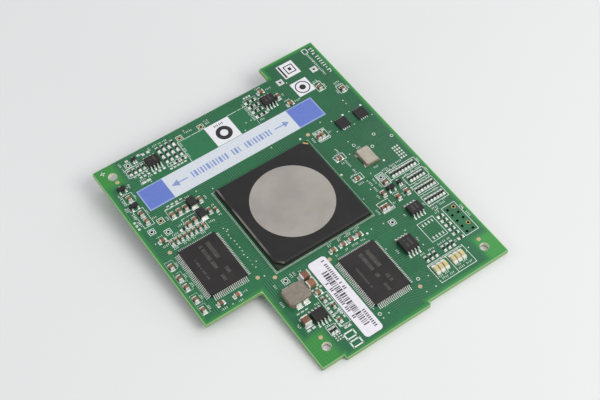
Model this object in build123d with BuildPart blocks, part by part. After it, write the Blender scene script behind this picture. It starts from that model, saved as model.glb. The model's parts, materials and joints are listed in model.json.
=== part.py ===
from build123d import *
import os

# A mezzanine expansion card for a blade server: a populated circuit board, component side up,
# with a long board-to-board connector on its underside. Lengths are in millimetres.
# The origin is at the bottom centre of the whole card: +X runs along the connector, +Y points
# to the card's back edge, and +Z is the component side.

# The bare board and its outline
board_width = 95.6
board_depth = 106.2
board_thickness = 1.6
tab_width = 23.0
tab_depth = 6.3
notch_width = 21.2
notch_depth = 34.6
tongue_from_left = 29.3
tongue_width = 33.2
tongue_reach = 1.45
inside_radius = 1.0
step_radius = 0.6

# Holes in the board
mounting_hole_radius = 1.6
rear_hole_inset = 5.05
front_hole_spacing = 63.5
front_hole_inset = 5.5
header_hole_radius = 0.5
header_pitch = 2.54
header_columns = 2
header_rows = 5
test_hole_radius = 0.4
small_hole_sides = 8
header_place_shares = (0.948, 0.812)
test_hole_shares = (
    (0.788, 0.031),
    (0.930, 0.048),
    (0.122, 0.038),
    (0.339, 0.038),
    (0.430, 0.038),
    (0.094, 0.281),
    (0.045, 0.300),
    (0.092, 0.329),
    (0.310, 0.685),
    (0.747, 0.701),
    (0.831, 0.542),
)

# The board-to-board connector on the underside
connector_height = 5.5
connector_width = 7.0
connector_wall = 1.0
connector_tongue = 1.8
connector_end_length = 2.6
connector_end_margin = 0.9
connector_key = 1.2
contact_columns = 50
contact_pitch = 1.27
contact_width = 0.45
contact_thickness = 0.2
contact_foot_reach = 0.9
contact_tip_recess = 0.8
connector_place_shares = (0.463, 0.187)

# The press label over the connector, and the rounded serial label
label_thickness = 0.1
press_label_length = 72.0
press_label_width = 9.5
serial_label_length = 32.4
serial_label_width = 6.8
serial_label_radius = 1.3
serial_label_place_shares = (0.438, 0.828)

# The controller: a ball grid package with a round heat spreader let into its cap
controller_side = 37.5
substrate_thickness = 0.6
ball_height = 0.5
ball_radius = 0.35
ball_sides = 4
ball_pitch = 1.27
balls_on_a_side = 28
cap_inset = 0.25
cap_height = 1.2
cap_corner = 2.4
cap_edge = 0.5
spreader_radius = 14.5
spreader_thickness = 0.3
spreader_proud = 0.06
spreader_clearance = 0.05
controller_place_shares = (0.508, 0.466)

# The moulded chips with gull-wing leads
mould_draft_angle = 8
memory_body = (14.0, 20.0)
memory_height = 1.4
memory_standoff = 0.1
memory_lead_pitch = 0.65
memory_lead_width = 0.3
memory_lead_thickness = 0.15
memory_lead_reach = 1.0
memory_lead_foot = 0.55
memory_side_leads = (30, 20)
memory_left_place_shares = (0.145, 0.511)
memory_right_place_shares = (0.570, 0.8165)

small_outline_body = (4.9, 3.9)
small_outline_height = 1.45
wide_outline_body = (5.3, 5.3)
wide_outline_height = 1.9
outline_standoff = 0.15
outline_lead_pitch = 1.27
outline_lead_width = 0.42
outline_lead_thickness = 0.2
outline_lead_reach = 1.05
wide_lead_reach = 1.35
outline_lead_foot = 0.6
outline_side_leads = 4
power_chip_left_place_shares = (0.204, 0.0705)
power_chip_right_place_shares = (0.699, 0.0755)
identity_chip_place_shares = (0.843, 0.702)
flash_chip_place_shares = (0.732, 0.795)
regulator_chip_place_shares = (0.324, 0.840)

# The two flat no-lead chips near the right edge
flat_chip_side = 4.2
flat_chip_height = 0.85
flat_chip_edge = 0.1
flat_pad_length = 0.55
flat_pad_width = 0.3
flat_pad_thickness = 0.2
flat_pad_reach = 0.12
flat_pad_pitch = 0.8
flat_pads_on_a_side = 4
flat_chip_inner_place_shares = (0.864, 0.295)
flat_chip_outer_place_shares = (0.946, 0.2945)

# Small transistors
transistor_body = (2.9, 1.6)
transistor_height = 1.0
transistor_lead_width = 0.4
transistor_lead_thickness = 0.15
transistor_lead_reach = 0.6
transistor_lead_foot = 0.4
transistor_standoff = 0.1
transistor_place_shares = ((0.050, 0.108), (0.050, 0.186), (0.831, 0.593))
mini_transistor_body = (1.6, 1.2)
mini_transistor_place_shares = ((0.152, 0.028), (0.870, 0.592))

# The clock oscillator
oscillator_body = (5.2, 7.0)
oscillator_base_height = 0.9
oscillator_notch_radius = 0.2
oscillator_notch_sides = 6
oscillator_notch_pitch = 5.08
oscillator_lid_inset = 0.1
oscillator_lid_height = 0.5
oscillator_lid_radius = 0.5
oscillator_place_shares = (0.845, 0.452)

# The power inductor
inductor_body = (8.0, 6.6)
inductor_height = 2.4
inductor_corner = 0.7
inductor_edge = 0.25
inductor_strap_width = 1.9
inductor_strap_pitch = 2.7
inductor_strap_thickness = 0.2
inductor_strap_height = 1.3
inductor_strap_foot = 0.8
inductor_place_shares = (0.3055, 0.7455)

# Chip capacitors and resistors, by size
bulk_length = 3.2
bulk_width = 2.5
bulk_height = 2.0
bulk_end = 0.5
bulk_across_place_shares = ((0.371, 0.706), (0.371, 0.7395))
bulk_upright_place_shares = ((0.275, 0.835),)

tantalum_length = 3.5
tantalum_width = 2.8
tantalum_height = 1.9
tantalum_draft_angle = 4
tantalum_strap_width = 2.2
tantalum_strap_thickness = 0.15
tantalum_strap_height = 1.2
tantalum_strap_foot = 0.45
tantalum_place_shares = ((0.2215, 0.2805), (0.225, 0.3335))

large_chip_length = 2.0
large_chip_width = 1.25
large_chip_height = 1.1
large_chip_end = 0.4
filter_upright_place_shares = (
    (0.052, 0.1535),
    (0.053, 0.2255),
    (0.053, 0.258),
    (0.1405, 0.285),
    (0.1675, 0.285),
    (0.1935, 0.285),
    (0.2525, 0.283),
    (0.1665, 0.3425),
    (0.1925, 0.340),
    (0.255, 0.336),
    (0.7405, 0.079),
    (0.895, 0.1265),
    (0.961, 0.176),
    (0.754, 0.298),
    (0.771, 0.298),
    (0.754, 0.6445),
    (0.771, 0.6445),
    (0.795, 0.599),
    (0.829, 0.5665),
    (0.829, 0.636),
    (0.869, 0.634),
)
filter_across_place_shares = (
    (0.700, 0.029),
    (0.760, 0.127),
    (0.056, 0.349),
    (0.758, 0.407),
    (0.758, 0.505),
    (0.372, 0.775),
)
memory_upright_place_shares = (
    (0.0245, 0.4455),
    (0.0245, 0.4935),
    (0.0245, 0.532),
    (0.0245, 0.584),
    (0.0245, 0.627),
)
memory_across_place_shares = (
    (0.085, 0.638),
    (0.147, 0.642),
    (0.5105, 0.679),
    (0.552, 0.679),
    (0.587, 0.679),
    (0.620, 0.679),
)

chip_length = 1.6
chip_width = 0.8
resistor_height = 0.45
capacitor_height = 0.8
bank_pitch = 1.3
memory_row_pitch = 1.75
column_pitch = 1.95
pair_pitch = 2.3
ladder_pitch = 2.0
stack_pitch = 2.4
row_pitch = 2.65

# Light-emitting diodes
led_length = 3.2
led_width = 1.5
led_base_height = 0.5
led_lens_length = 2.0
led_lens_height = 0.6
led_lens_draft_angle = 10
led_pitch = 1.8
leds_in_a_row = 3
led_row_place_shares = ((0.769, 0.9145), (0.842, 0.9145))

# Decoupling capacitors under the controller
underside_columns = 4
underside_rows = 4
underside_pitch = 6.4

# Levels and edges that follow from the sizes
overall_depth = board_depth + tab_depth
left_edge = -board_width / 2
right_edge = board_width / 2
front_edge = -overall_depth / 2
back_edge = front_edge + board_depth
board_underside = connector_height
board_top = connector_height + board_thickness
notch_line = front_edge + notch_depth
recessed_front = front_edge + tongue_reach
notch_right = left_edge + notch_width
tab_left = right_edge - tab_width
tongue_left = left_edge + tongue_from_left
tongue_right = tongue_left + tongue_width
front_hole_centre = (notch_right + right_edge) / 2
standing = (Align.CENTER, Align.CENTER, Align.MIN)
hanging = (Align.CENTER, Align.CENTER, Align.MAX)


def place(shares, level=board_top):
    """The point at these shares of the board's width, from the left, and depth, from the back."""
    x_share, y_share = shares
    return (left_edge + x_share * board_width, back_edge - y_share * board_depth, level)


def moulded_chip(at, body, height, standoff, band):
    """A moulded body whose two halves taper away from a flat band, where its leads come out."""
    x, y, base = at
    width, depth = body
    half = (height - band) / 2
    parting = base + standoff + half
    with BuildPart() as chip:
        with BuildSketch(Plane(origin=(x, y, parting), z_dir=(0, 0, -1))):
            Rectangle(width, depth)
        extrude(amount=half, taper=mould_draft_angle)
        with BuildSketch(Plane(origin=(x, y, parting))):
            Rectangle(width, depth)
        extrude(amount=band)
        with BuildSketch(Plane(origin=(x, y, parting + band))):
            Rectangle(width, depth)
        extrude(amount=half, taper=mould_draft_angle)
    return chip


def gull_lead(wall, level, reach, foot, thickness, width):
    """One gull-wing lead along +X: a shoulder from the wall, a slanted leg and a foot."""
    tip = wall + reach
    knee = tip - foot - thickness
    with BuildPart() as lead:
        with BuildSketch(Plane.XZ.offset(-width / 2)):
            with BuildLine():
                Polyline(
                    (wall, level),
                    (wall, level + thickness),
                    (knee + thickness, level + thickness),
                    (tip - foot + thickness, thickness),
                    (tip, thickness),
                    (tip, 0),
                    (tip - foot, 0),
                    (knee, level),
                    close=True,
                )
            make_face()
        extrude(amount=width)
    return lead.part


def fine_lead(wall, level, reach, foot, thickness, width):
    """A gull-wing lead too small to show its shoulder: a slanted leg along +X, then a foot."""
    tip = wall + reach
    with BuildPart() as lead:
        with BuildSketch(Plane.XZ.offset(-width / 2)):
            with BuildLine():
                Polyline(
                    (wall, level),
                    (wall, level + thickness),
                    (tip - foot + thickness, thickness),
                    (tip, thickness),
                    (tip, 0),
                    (tip - foot, 0),
                    close=True,
                )
            make_face()
        extrude(amount=width)
    return lead.part


def quad_chip(at):
    """A memory chip's body and the fine leads along all four of its sides."""
    width, depth = memory_body
    body = moulded_chip(at, memory_body, memory_height, memory_standoff, memory_lead_thickness)
    level = memory_standoff + (memory_height - memory_lead_thickness) / 2
    long_lead, short_lead = (
        fine_lead(wall, level, memory_lead_reach, memory_lead_foot, memory_lead_thickness, memory_lead_width)
        for wall in (width / 2, depth / 2)
    )
    long_count, short_count = memory_side_leads
    with BuildPart() as leads:
        for turn, count, lead in (
            (0, long_count, long_lead),
            (90, short_count, short_lead),
            (180, long_count, long_lead),
            (270, short_count, short_lead),
        ):
            with Locations(Location(at, (0, 0, turn))):
                with GridLocations(0, memory_lead_pitch, 1, count):
                    add(lead)
    return body, leads


def outline_chip(at, body, height, reach):
    """A small-outline chip's body and its two rows of leads, which face the front and the back."""
    width, depth = body
    chip = moulded_chip(at, body, height, outline_standoff, outline_lead_thickness)
    level = outline_standoff + (height - outline_lead_thickness) / 2
    lead = gull_lead(depth / 2, level, reach, outline_lead_foot, outline_lead_thickness, outline_lead_width)
    with BuildPart() as leads:
        for turn in (90, 270):
            with Locations(Location(at, (0, 0, turn))):
                with GridLocations(0, outline_lead_pitch, 1, outline_side_leads):
                    add(lead)
    return chip, leads


def flat_chip(at):
    """A no-lead chip's body, lifted a little by its pads, and the pads along two sides."""
    x, y, base = at
    with BuildPart() as chip:
        with Locations((x, y, base + flat_pad_thickness)):
            Box(flat_chip_side, flat_chip_side, flat_chip_height - flat_pad_thickness, align=standing)
        chamfer(chip.edges().group_by(Axis.Z)[-1], flat_chip_edge)
    pad_row = flat_chip_side / 2 + flat_pad_reach - flat_pad_length / 2
    with BuildPart() as pads:
        with Locations(at):
            with GridLocations(flat_pad_pitch, pad_row * 2, flat_pads_on_a_side, 2):
                Box(flat_pad_width, flat_pad_length, flat_pad_thickness, align=standing)
    return chip, pads


def chip_blocks(blocks, height, level=board_top, seat=standing):
    """Small chips in blocks: each has its centre's shares, columns, rows, pitches and direction."""
    with BuildPart() as chips:
        for shares, columns, rows, x_pitch, y_pitch, across in blocks:
            width, depth = (chip_length, chip_width) if across else (chip_width, chip_length)
            with Locations(place(shares, level)):
                with GridLocations(x_pitch, y_pitch, columns, rows):
                    Box(width, depth, height, align=seat)
    return chips


def ended_chips(across_shares, upright_shares, length, width, height, end):
    """Chip capacitors as a ceramic block between two metal ends, lying across or upright."""
    block = length - 2 * end
    with BuildPart() as blocks:
        with Locations(*[Location(place(shares)) for shares in across_shares]):
            Box(block, width, height, align=standing)
        with Locations(*[Location(place(shares)) for shares in upright_shares]):
            Box(width, block, height, align=standing)
    with BuildPart() as ends:
        with Locations(*[Location(place(shares)) for shares in across_shares]):
            with GridLocations(length - end, 0, 2, 1):
                Box(end, width, height, align=standing)
        with Locations(*[Location(place(shares)) for shares in upright_shares]):
            with GridLocations(0, length - end, 1, 2):
                Box(width, end, height, align=standing)
    return blocks, ends


# The board: its outline has a tab at the back right, a notch at the front left and a low tongue
# along the front
with BuildPart() as circuit_board:
    with BuildSketch(Plane.XY.offset(board_underside)) as outline:
        with BuildLine():
            Polyline(
                (left_edge, back_edge),
                (tab_left, back_edge),
                (tab_left, back_edge + tab_depth),
                (right_edge, back_edge + tab_depth),
                (right_edge, recessed_front),
                (tongue_right, recessed_front),
                (tongue_right, front_edge),
                (tongue_left, front_edge),
                (tongue_left, recessed_front),
                (notch_right, recessed_front),
                (notch_right, notch_line),
                (left_edge, notch_line),
                close=True,
            )
        make_face()
        for corner in ((tab_left, back_edge), (notch_right, notch_line)):
            fillet(outline.vertices().sort_by_distance((*corner, 0))[0], inside_radius)
        fillet(outline.vertices().group_by(Axis.Y)[0], step_radius)
    extrude(amount=board_thickness)
    with Locations(
        (left_edge + rear_hole_inset, back_edge - rear_hole_inset, board_top),
        (front_hole_centre - front_hole_spacing / 2, recessed_front + front_hole_inset, board_top),
        (front_hole_centre + front_hole_spacing / 2, recessed_front + front_hole_inset, board_top),
    ):
        Hole(mounting_hole_radius, depth=board_thickness)
    with BuildSketch(Plane.XY.offset(board_top)):
        with Locations(place(header_place_shares, level=0)):
            with GridLocations(header_pitch, header_pitch, header_columns, header_rows):
                RegularPolygon(header_hole_radius, small_hole_sides)
        with Locations(*[place(shares, level=0) for shares in test_hole_shares]):
            RegularPolygon(test_hole_radius, small_hole_sides)
    extrude(amount=-board_thickness, mode=Mode.SUBTRACT)

# The connector: one moulding with two through slots either side of its tongue, raised off the
# board along its sides so that the contact feet pass under the walls
slot_length = (contact_columns - 1) * contact_pitch + contact_width + 2 * connector_end_margin
connector_length = slot_length + 2 * connector_end_length
slot_width = (connector_width - connector_tongue) / 2 - connector_wall
slot_spacing = connector_tongue + slot_width
connector_centre = place(connector_place_shares, level=0)

with BuildPart() as connector_housing:
    with BuildSketch(Plane(origin=connector_centre)):
        Rectangle(connector_length, connector_width)
        chamfer(vertices().group_by(Axis.X)[0], connector_key)
    extrude(amount=connector_height - contact_thickness)
    with BuildSketch(Plane(origin=connector_centre).offset(connector_height - contact_thickness)):
        with GridLocations(slot_length + connector_end_length, 0, 2, 1):
            Rectangle(connector_end_length, connector_width - 2 * connector_key)
    extrude(amount=contact_thickness)
    with BuildSketch(Plane(origin=connector_centre)):
        with GridLocations(0, slot_spacing, 1, 2):
            Rectangle(slot_length, slot_width)
    extrude(amount=connector_height, mode=Mode.SUBTRACT)

with BuildPart() as one_contact:
    with BuildSketch(Plane.YZ.offset(-contact_width / 2)):
        with BuildLine():
            Polyline(
                (connector_tongue / 2, connector_height),
                (connector_tongue / 2, contact_tip_recess),
                (connector_tongue / 2 + contact_thickness, contact_tip_recess),
                (connector_tongue / 2 + contact_thickness, connector_height - contact_thickness),
                (connector_width / 2 + contact_foot_reach, connector_height - contact_thickness),
                (connector_width / 2 + contact_foot_reach, connector_height),
                close=True,
            )
        make_face()
    extrude(amount=contact_width)

with BuildPart() as connector_contacts:
    for turn in (0, 180):
        with Locations(Location(connector_centre, (0, 0, turn))):
            with GridLocations(contact_pitch, 0, contact_columns, 1):
                add(one_contact.part)

# Labels
with BuildPart() as press_label:
    with BuildSketch(Plane(origin=place(connector_place_shares))):
        Rectangle(press_label_length, press_label_width)
    extrude(amount=label_thickness)

with BuildPart() as serial_label:
    with BuildSketch(Plane(origin=place(serial_label_place_shares))):
        RectangleRounded(serial_label_width, serial_label_length, serial_label_radius)
    extrude(amount=label_thickness)

# The controller, from its solder balls up to its heat spreader
controller_at = place(controller_place_shares)
substrate_base = board_top + ball_height
cap_base = substrate_base + substrate_thickness
spreader_seat = cap_base + cap_height + spreader_proud - spreader_thickness

with BuildPart() as controller_solder_balls:
    with BuildSketch(Plane(origin=controller_at)):
        ring = (balls_on_a_side - 1) * ball_pitch
        for turn in range(4):
            with Locations(Location((0, 0, 0), (0, 0, turn * 90))):
                with Locations((-ball_pitch / 2, ring / 2)):
                    with GridLocations(ball_pitch, 0, balls_on_a_side - 1, 1):
                        RegularPolygon(ball_radius, ball_sides)
    extrude(amount=ball_height)

with BuildPart() as controller_substrate:
    with BuildSketch(Plane(origin=controller_at).offset(ball_height)):
        Rectangle(controller_side, controller_side)
    extrude(amount=substrate_thickness)

# The cap's corners are cut at its first pin, at the back right, and opposite it
first_pin_diagonal = Axis((0, 0, 0), (1, 1, 0))

with BuildPart() as controller_cap:
    with BuildSketch(Plane(origin=controller_at).offset(ball_height + substrate_thickness)):
        Rectangle(controller_side - 2 * cap_inset, controller_side - 2 * cap_inset)
        chamfer(vertices().sort_by(first_pin_diagonal)[::3], cap_corner)
    extrude(amount=cap_height)
    chamfer(controller_cap.edges().group_by(Axis.Z)[-1], cap_edge)
    with BuildSketch(Plane(origin=controller_at).offset(spreader_seat - board_top)):
        Circle(spreader_radius + spreader_clearance)
    extrude(amount=spreader_thickness, mode=Mode.SUBTRACT)

with BuildPart() as controller_heat_spreader:
    with BuildSketch(Plane(origin=controller_at).offset(spreader_seat - board_top)):
        Circle(spreader_radius)
    extrude(amount=spreader_thickness)

# Moulded chips
memory_chip_left, memory_chip_left_leads = quad_chip(place(memory_left_place_shares))
memory_chip_right, memory_chip_right_leads = quad_chip(place(memory_right_place_shares))
power_chip_left, power_chip_left_leads = outline_chip(
    place(power_chip_left_place_shares), small_outline_body, small_outline_height, outline_lead_reach
)
power_chip_right, power_chip_right_leads = outline_chip(
    place(power_chip_right_place_shares), small_outline_body, small_outline_height, outline_lead_reach
)
identity_chip, identity_chip_leads = outline_chip(
    place(identity_chip_place_shares), small_outline_body, small_outline_height, outline_lead_reach
)
regulator_chip, regulator_chip_leads = outline_chip(
    place(regulator_chip_place_shares), small_outline_body, small_outline_height, outline_lead_reach
)
flash_chip, flash_chip_leads = outline_chip(
    place(flash_chip_place_shares), wide_outline_body, wide_outline_height, wide_lead_reach
)
flat_chip_inner, flat_chip_inner_pads = flat_chip(place(flat_chip_inner_place_shares))
flat_chip_outer, flat_chip_outer_pads = flat_chip(place(flat_chip_outer_place_shares))

# Transistors: three leads each, two to the front and one to the back
transistor_level = transistor_standoff + (transistor_height - transistor_lead_thickness) / 2
transistor_wall = transistor_body[1] / 2
mini_wall = mini_transistor_body[1] / 2
transistor_lead, mini_lead = (
    gull_lead(
        wall,
        transistor_level,
        transistor_lead_reach,
        transistor_lead_foot,
        transistor_lead_thickness,
        transistor_lead_width,
    )
    for wall in (transistor_wall, mini_wall)
)
transistor_kinds = (
    (transistor_place_shares, transistor_body, transistor_lead),
    (mini_transistor_place_shares, mini_transistor_body, mini_lead),
)

transistor_bodies = [
    moulded_chip(
        place(shares), body, transistor_height, transistor_standoff, transistor_lead_thickness
    ).part
    for places, body, lead in transistor_kinds
    for shares in places
]

with BuildPart() as transistors:
    add(transistor_bodies)

with BuildPart() as transistor_leads:
    for places, body, lead in transistor_kinds:
        for shares in places:
            with Locations(Location(place(shares), (0, 0, 270))):
                with GridLocations(0, body[0] - transistor_lead_width * 2, 1, 2):
                    add(lead)
            with Locations(Location(place(shares), (0, 0, 90))):
                add(lead)

# The oscillator: a ceramic base with castellations along its sides, and a metal lid
oscillator_at = place(oscillator_place_shares)
oscillator_width, oscillator_depth = oscillator_body

with BuildPart() as oscillator_base:
    with BuildSketch(Plane(origin=oscillator_at)):
        Rectangle(oscillator_width, oscillator_depth)
        with GridLocations(oscillator_width, oscillator_notch_pitch, 2, 2):
            RegularPolygon(oscillator_notch_radius, oscillator_notch_sides, mode=Mode.SUBTRACT)
    extrude(amount=oscillator_base_height)

with BuildPart() as oscillator_lid:
    with BuildSketch(Plane(origin=oscillator_at).offset(oscillator_base_height)):
        RectangleRounded(
            oscillator_width - 2 * oscillator_lid_inset - 2 * oscillator_notch_radius,
            oscillator_depth - 2 * oscillator_lid_inset,
            oscillator_lid_radius,
        )
    extrude(amount=oscillator_lid_height)

# The inductor: a ferrite block with cut corners, standing between two pairs of metal straps
inductor_at = place(inductor_place_shares)
inductor_width, inductor_depth = inductor_body

with BuildPart() as inductor_core:
    with BuildSketch(Plane(origin=inductor_at)):
        Rectangle(*inductor_body)
        chamfer(vertices(), inductor_corner)
    extrude(amount=inductor_height)
    chamfer(inductor_core.edges().group_by(Axis.Z)[-1], inductor_edge)

with BuildPart() as one_strap:
    with BuildSketch(Plane.YZ.offset(-inductor_strap_width / 2)):
        with BuildLine():
            Polyline(
                (inductor_depth / 2, 0),
                (inductor_depth / 2 + inductor_strap_foot, 0),
                (inductor_depth / 2 + inductor_strap_foot, inductor_strap_thickness),
                (inductor_depth / 2 + inductor_strap_thickness, inductor_strap_thickness),
                (inductor_depth / 2 + inductor_strap_thickness, inductor_strap_height),
                (inductor_depth / 2, inductor_strap_height),
                close=True,
            )
        make_face()
    extrude(amount=inductor_strap_width)

with BuildPart() as inductor_straps:
    for turn in (0, 180):
        with Locations(Location(inductor_at, (0, 0, turn))):
            with GridLocations(inductor_strap_pitch, 0, 2, 1):
                add(one_strap.part)

# Tantalum capacitors: a moulded block with a metal strap up each end
with BuildPart() as tantalum_capacitors:
    for shares in tantalum_place_shares:
        with BuildSketch(Plane(origin=place(shares)).offset(tantalum_strap_height)):
            Rectangle(tantalum_width, tantalum_length)
        extrude(amount=tantalum_height - tantalum_strap_height, taper=tantalum_draft_angle)
        with BuildSketch(Plane(origin=place(shares))):
            Rectangle(tantalum_width, tantalum_length)
        extrude(amount=tantalum_strap_height)

with BuildPart() as one_tantalum_strap:
    with BuildSketch(Plane.YZ.offset(-tantalum_strap_width / 2)):
        with BuildLine():
            Polyline(
                (tantalum_length / 2, 0),
                (tantalum_length / 2 + tantalum_strap_foot, 0),
                (tantalum_length / 2 + tantalum_strap_foot, tantalum_strap_thickness),
                (tantalum_length / 2 + tantalum_strap_thickness, tantalum_strap_thickness),
                (tantalum_length / 2 + tantalum_strap_thickness, tantalum_strap_height),
                (tantalum_length / 2, tantalum_strap_height),
                close=True,
            )
        make_face()
    extrude(amount=tantalum_strap_width)

with BuildPart() as tantalum_straps:
    for shares in tantalum_place_shares:
        for turn in (0, 180):
            with Locations(Location(place(shares), (0, 0, turn))):
                add(one_tantalum_strap.part)

# Chip capacitors and resistors
bulk_capacitors, bulk_capacitor_ends = ended_chips(
    bulk_across_place_shares, bulk_upright_place_shares, bulk_length, bulk_width, bulk_height, bulk_end
)
filter_capacitors, filter_capacitor_ends = ended_chips(
    filter_across_place_shares,
    filter_upright_place_shares,
    large_chip_length,
    large_chip_width,
    large_chip_height,
    large_chip_end,
)
memory_capacitors, memory_capacitor_ends = ended_chips(
    memory_across_place_shares,
    memory_upright_place_shares,
    large_chip_length,
    large_chip_width,
    large_chip_height,
    large_chip_end,
)
sense_resistors_left = chip_blocks(
    (
        ((0.139, 0.067), 4, 1, memory_row_pitch, row_pitch, False),
        ((0.277, 0.063), 4, 3, column_pitch, row_pitch, False),
        ((0.288, 0.113), 2, 1, pair_pitch, row_pitch, True),
    ),
    resistor_height,
)
sense_resistors_right = chip_blocks(
    (((0.645, 0.075), 2, 4, column_pitch, stack_pitch, True),),
    resistor_height,
)
termination_resistors = chip_blocks(
    (
        ((0.919, 0.554), 8, 1, bank_pitch, row_pitch, False),
        ((0.938, 0.601), 5, 1, bank_pitch, row_pitch, False),
        ((0.936, 0.650), 6, 1, bank_pitch, row_pitch, False),
        ((0.936, 0.699), 6, 1, bank_pitch, row_pitch, False),
    ),
    resistor_height,
)
led_resistors = chip_blocks(
    (
        ((0.769, 0.868), 3, 1, led_pitch, row_pitch, False),
        ((0.844, 0.868), 3, 1, led_pitch, row_pitch, False),
    ),
    resistor_height,
)
strap_resistors = chip_blocks(
    (
        ((0.899, 0.806), 1, 5, column_pitch, ladder_pitch, True),
        ((0.901, 0.866), 1, 1, column_pitch, ladder_pitch, True),
        ((0.331, 0.903), 2, 1, bank_pitch, row_pitch, False),
        ((0.142, 0.348), 1, 1, column_pitch, row_pitch, True),
    ),
    resistor_height,
)
supply_capacitors = chip_blocks(
    (
        ((0.278, 0.344), 1, 1, column_pitch, row_pitch, False),
        ((0.1435, 0.372), 8, 1, memory_row_pitch, row_pitch, False),
        ((0.372, 0.803), 1, 1, column_pitch, row_pitch, False),
        ((0.385, 0.835), 1, 1, column_pitch, row_pitch, False),
        ((0.372, 0.885), 1, 1, column_pitch, row_pitch, False),
    ),
    capacitor_height,
)
underside_capacitors = chip_blocks(
    ((controller_place_shares, underside_columns, underside_rows, underside_pitch, underside_pitch, False),),
    capacitor_height,
    level=board_underside,
    seat=hanging,
)

# Port lights: a base with a tapered clear lens on each
with BuildPart() as led_bases:
    for shares in led_row_place_shares:
        with Locations(place(shares)):
            with GridLocations(led_pitch, 0, leds_in_a_row, 1):
                Box(led_width, led_length, led_base_height, align=standing)

with BuildPart() as led_lenses:
    for shares in led_row_place_shares:
        with BuildSketch(Plane(origin=place(shares)).offset(led_base_height)):
            with GridLocations(led_pitch, 0, leds_in_a_row, 1):
                Rectangle(led_width, led_lens_length)
        extrude(amount=led_lens_height, taper=led_lens_draft_angle)

pieces = {
    "circuit_board": circuit_board,
    "connector_housing": connector_housing,
    "connector_contacts": connector_contacts,
    "press_label": press_label,
    "serial_label": serial_label,
    "controller_solder_balls": controller_solder_balls,
    "controller_substrate": controller_substrate,
    "controller_cap": controller_cap,
    "controller_heat_spreader": controller_heat_spreader,
    "memory_chip_left": memory_chip_left,
    "memory_chip_left_leads": memory_chip_left_leads,
    "memory_chip_right": memory_chip_right,
    "memory_chip_right_leads": memory_chip_right_leads,
    "power_chip_left": power_chip_left,
    "power_chip_left_leads": power_chip_left_leads,
    "power_chip_right": power_chip_right,
    "power_chip_right_leads": power_chip_right_leads,
    "identity_chip": identity_chip,
    "identity_chip_leads": identity_chip_leads,
    "regulator_chip": regulator_chip,
    "regulator_chip_leads": regulator_chip_leads,
    "flash_chip": flash_chip,
    "flash_chip_leads": flash_chip_leads,
    "flat_chip_inner": flat_chip_inner,
    "flat_chip_inner_pads": flat_chip_inner_pads,
    "flat_chip_outer": flat_chip_outer,
    "flat_chip_outer_pads": flat_chip_outer_pads,
    "transistors": transistors,
    "transistor_leads": transistor_leads,
    "oscillator_base": oscillator_base,
    "oscillator_lid": oscillator_lid,
    "inductor_core": inductor_core,
    "inductor_straps": inductor_straps,
    "tantalum_capacitors": tantalum_capacitors,
    "tantalum_straps": tantalum_straps,
    "bulk_capacitors": bulk_capacitors,
    "bulk_capacitor_ends": bulk_capacitor_ends,
    "filter_capacitors": filter_capacitors,
    "filter_capacitor_ends": filter_capacitor_ends,
    "sense_resistors_left": sense_resistors_left,
    "sense_resistors_right": sense_resistors_right,
    "termination_resistors": termination_resistors,
    "led_resistors": led_resistors,
    "strap_resistors": strap_resistors,
    "memory_capacitors": memory_capacitors,
    "memory_capacitor_ends": memory_capacitor_ends,
    "supply_capacitors": supply_capacitors,
    "underside_capacitors": underside_capacitors,
    "led_bases": led_bases,
    "led_lenses": led_lenses,
}

os.makedirs("parts", exist_ok=True)
for name, piece in pieces.items():
    piece.part.label = name
    export_step(piece.part, f"parts/{name}.step")
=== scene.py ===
import json
import math
import random

import bpy
import bmesh
from mathutils import Matrix, Vector


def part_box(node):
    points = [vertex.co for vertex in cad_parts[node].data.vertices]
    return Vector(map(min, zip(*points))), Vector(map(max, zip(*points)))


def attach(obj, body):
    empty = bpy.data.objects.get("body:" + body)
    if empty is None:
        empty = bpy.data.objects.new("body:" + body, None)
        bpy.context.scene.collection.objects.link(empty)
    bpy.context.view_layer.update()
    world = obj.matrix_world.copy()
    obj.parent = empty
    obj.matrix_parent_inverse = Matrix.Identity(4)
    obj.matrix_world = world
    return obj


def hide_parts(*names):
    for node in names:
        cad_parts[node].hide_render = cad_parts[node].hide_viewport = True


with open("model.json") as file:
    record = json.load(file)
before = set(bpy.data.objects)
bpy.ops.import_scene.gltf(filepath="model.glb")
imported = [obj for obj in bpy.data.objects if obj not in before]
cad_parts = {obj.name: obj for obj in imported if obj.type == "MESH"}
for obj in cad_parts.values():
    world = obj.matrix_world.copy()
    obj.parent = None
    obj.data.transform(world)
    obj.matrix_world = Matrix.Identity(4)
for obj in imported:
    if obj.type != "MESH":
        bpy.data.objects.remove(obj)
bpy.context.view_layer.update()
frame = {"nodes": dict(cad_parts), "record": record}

MM = 0.001
random.seed(7)

# The board's own frame: places are in millimetres from its back left corner, as seen from above
board_low, board_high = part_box("circuit_board")
TAB_DEPTH = 6.3
corner = Vector((board_low.x, board_high.y - TAB_DEPTH * MM, board_high.z))


def at(x, y, z=0.0):
    """A point in metres from a place on the board in millimetres."""
    return corner + Vector((x, y, z)) * MM


# The camera, at the photograph's viewing angle
CAMERA_PLACE = (-81.683, -238.656, 332.657)
CAMERA_ELEVATION = 55.17
CAMERA_TURN = -35.16
CAMERA_LENS = 72.555

camera_data = bpy.data.cameras.new("camera")
camera_data.lens = CAMERA_LENS
camera_data.clip_start = 0.01
camera = bpy.data.objects.new("camera", camera_data)
camera.location = at(*CAMERA_PLACE)
camera.rotation_euler = (math.radians(90 - CAMERA_ELEVATION), 0, math.radians(CAMERA_TURN))
bpy.context.scene.collection.objects.link(camera)
bpy.context.scene.camera = camera


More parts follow.
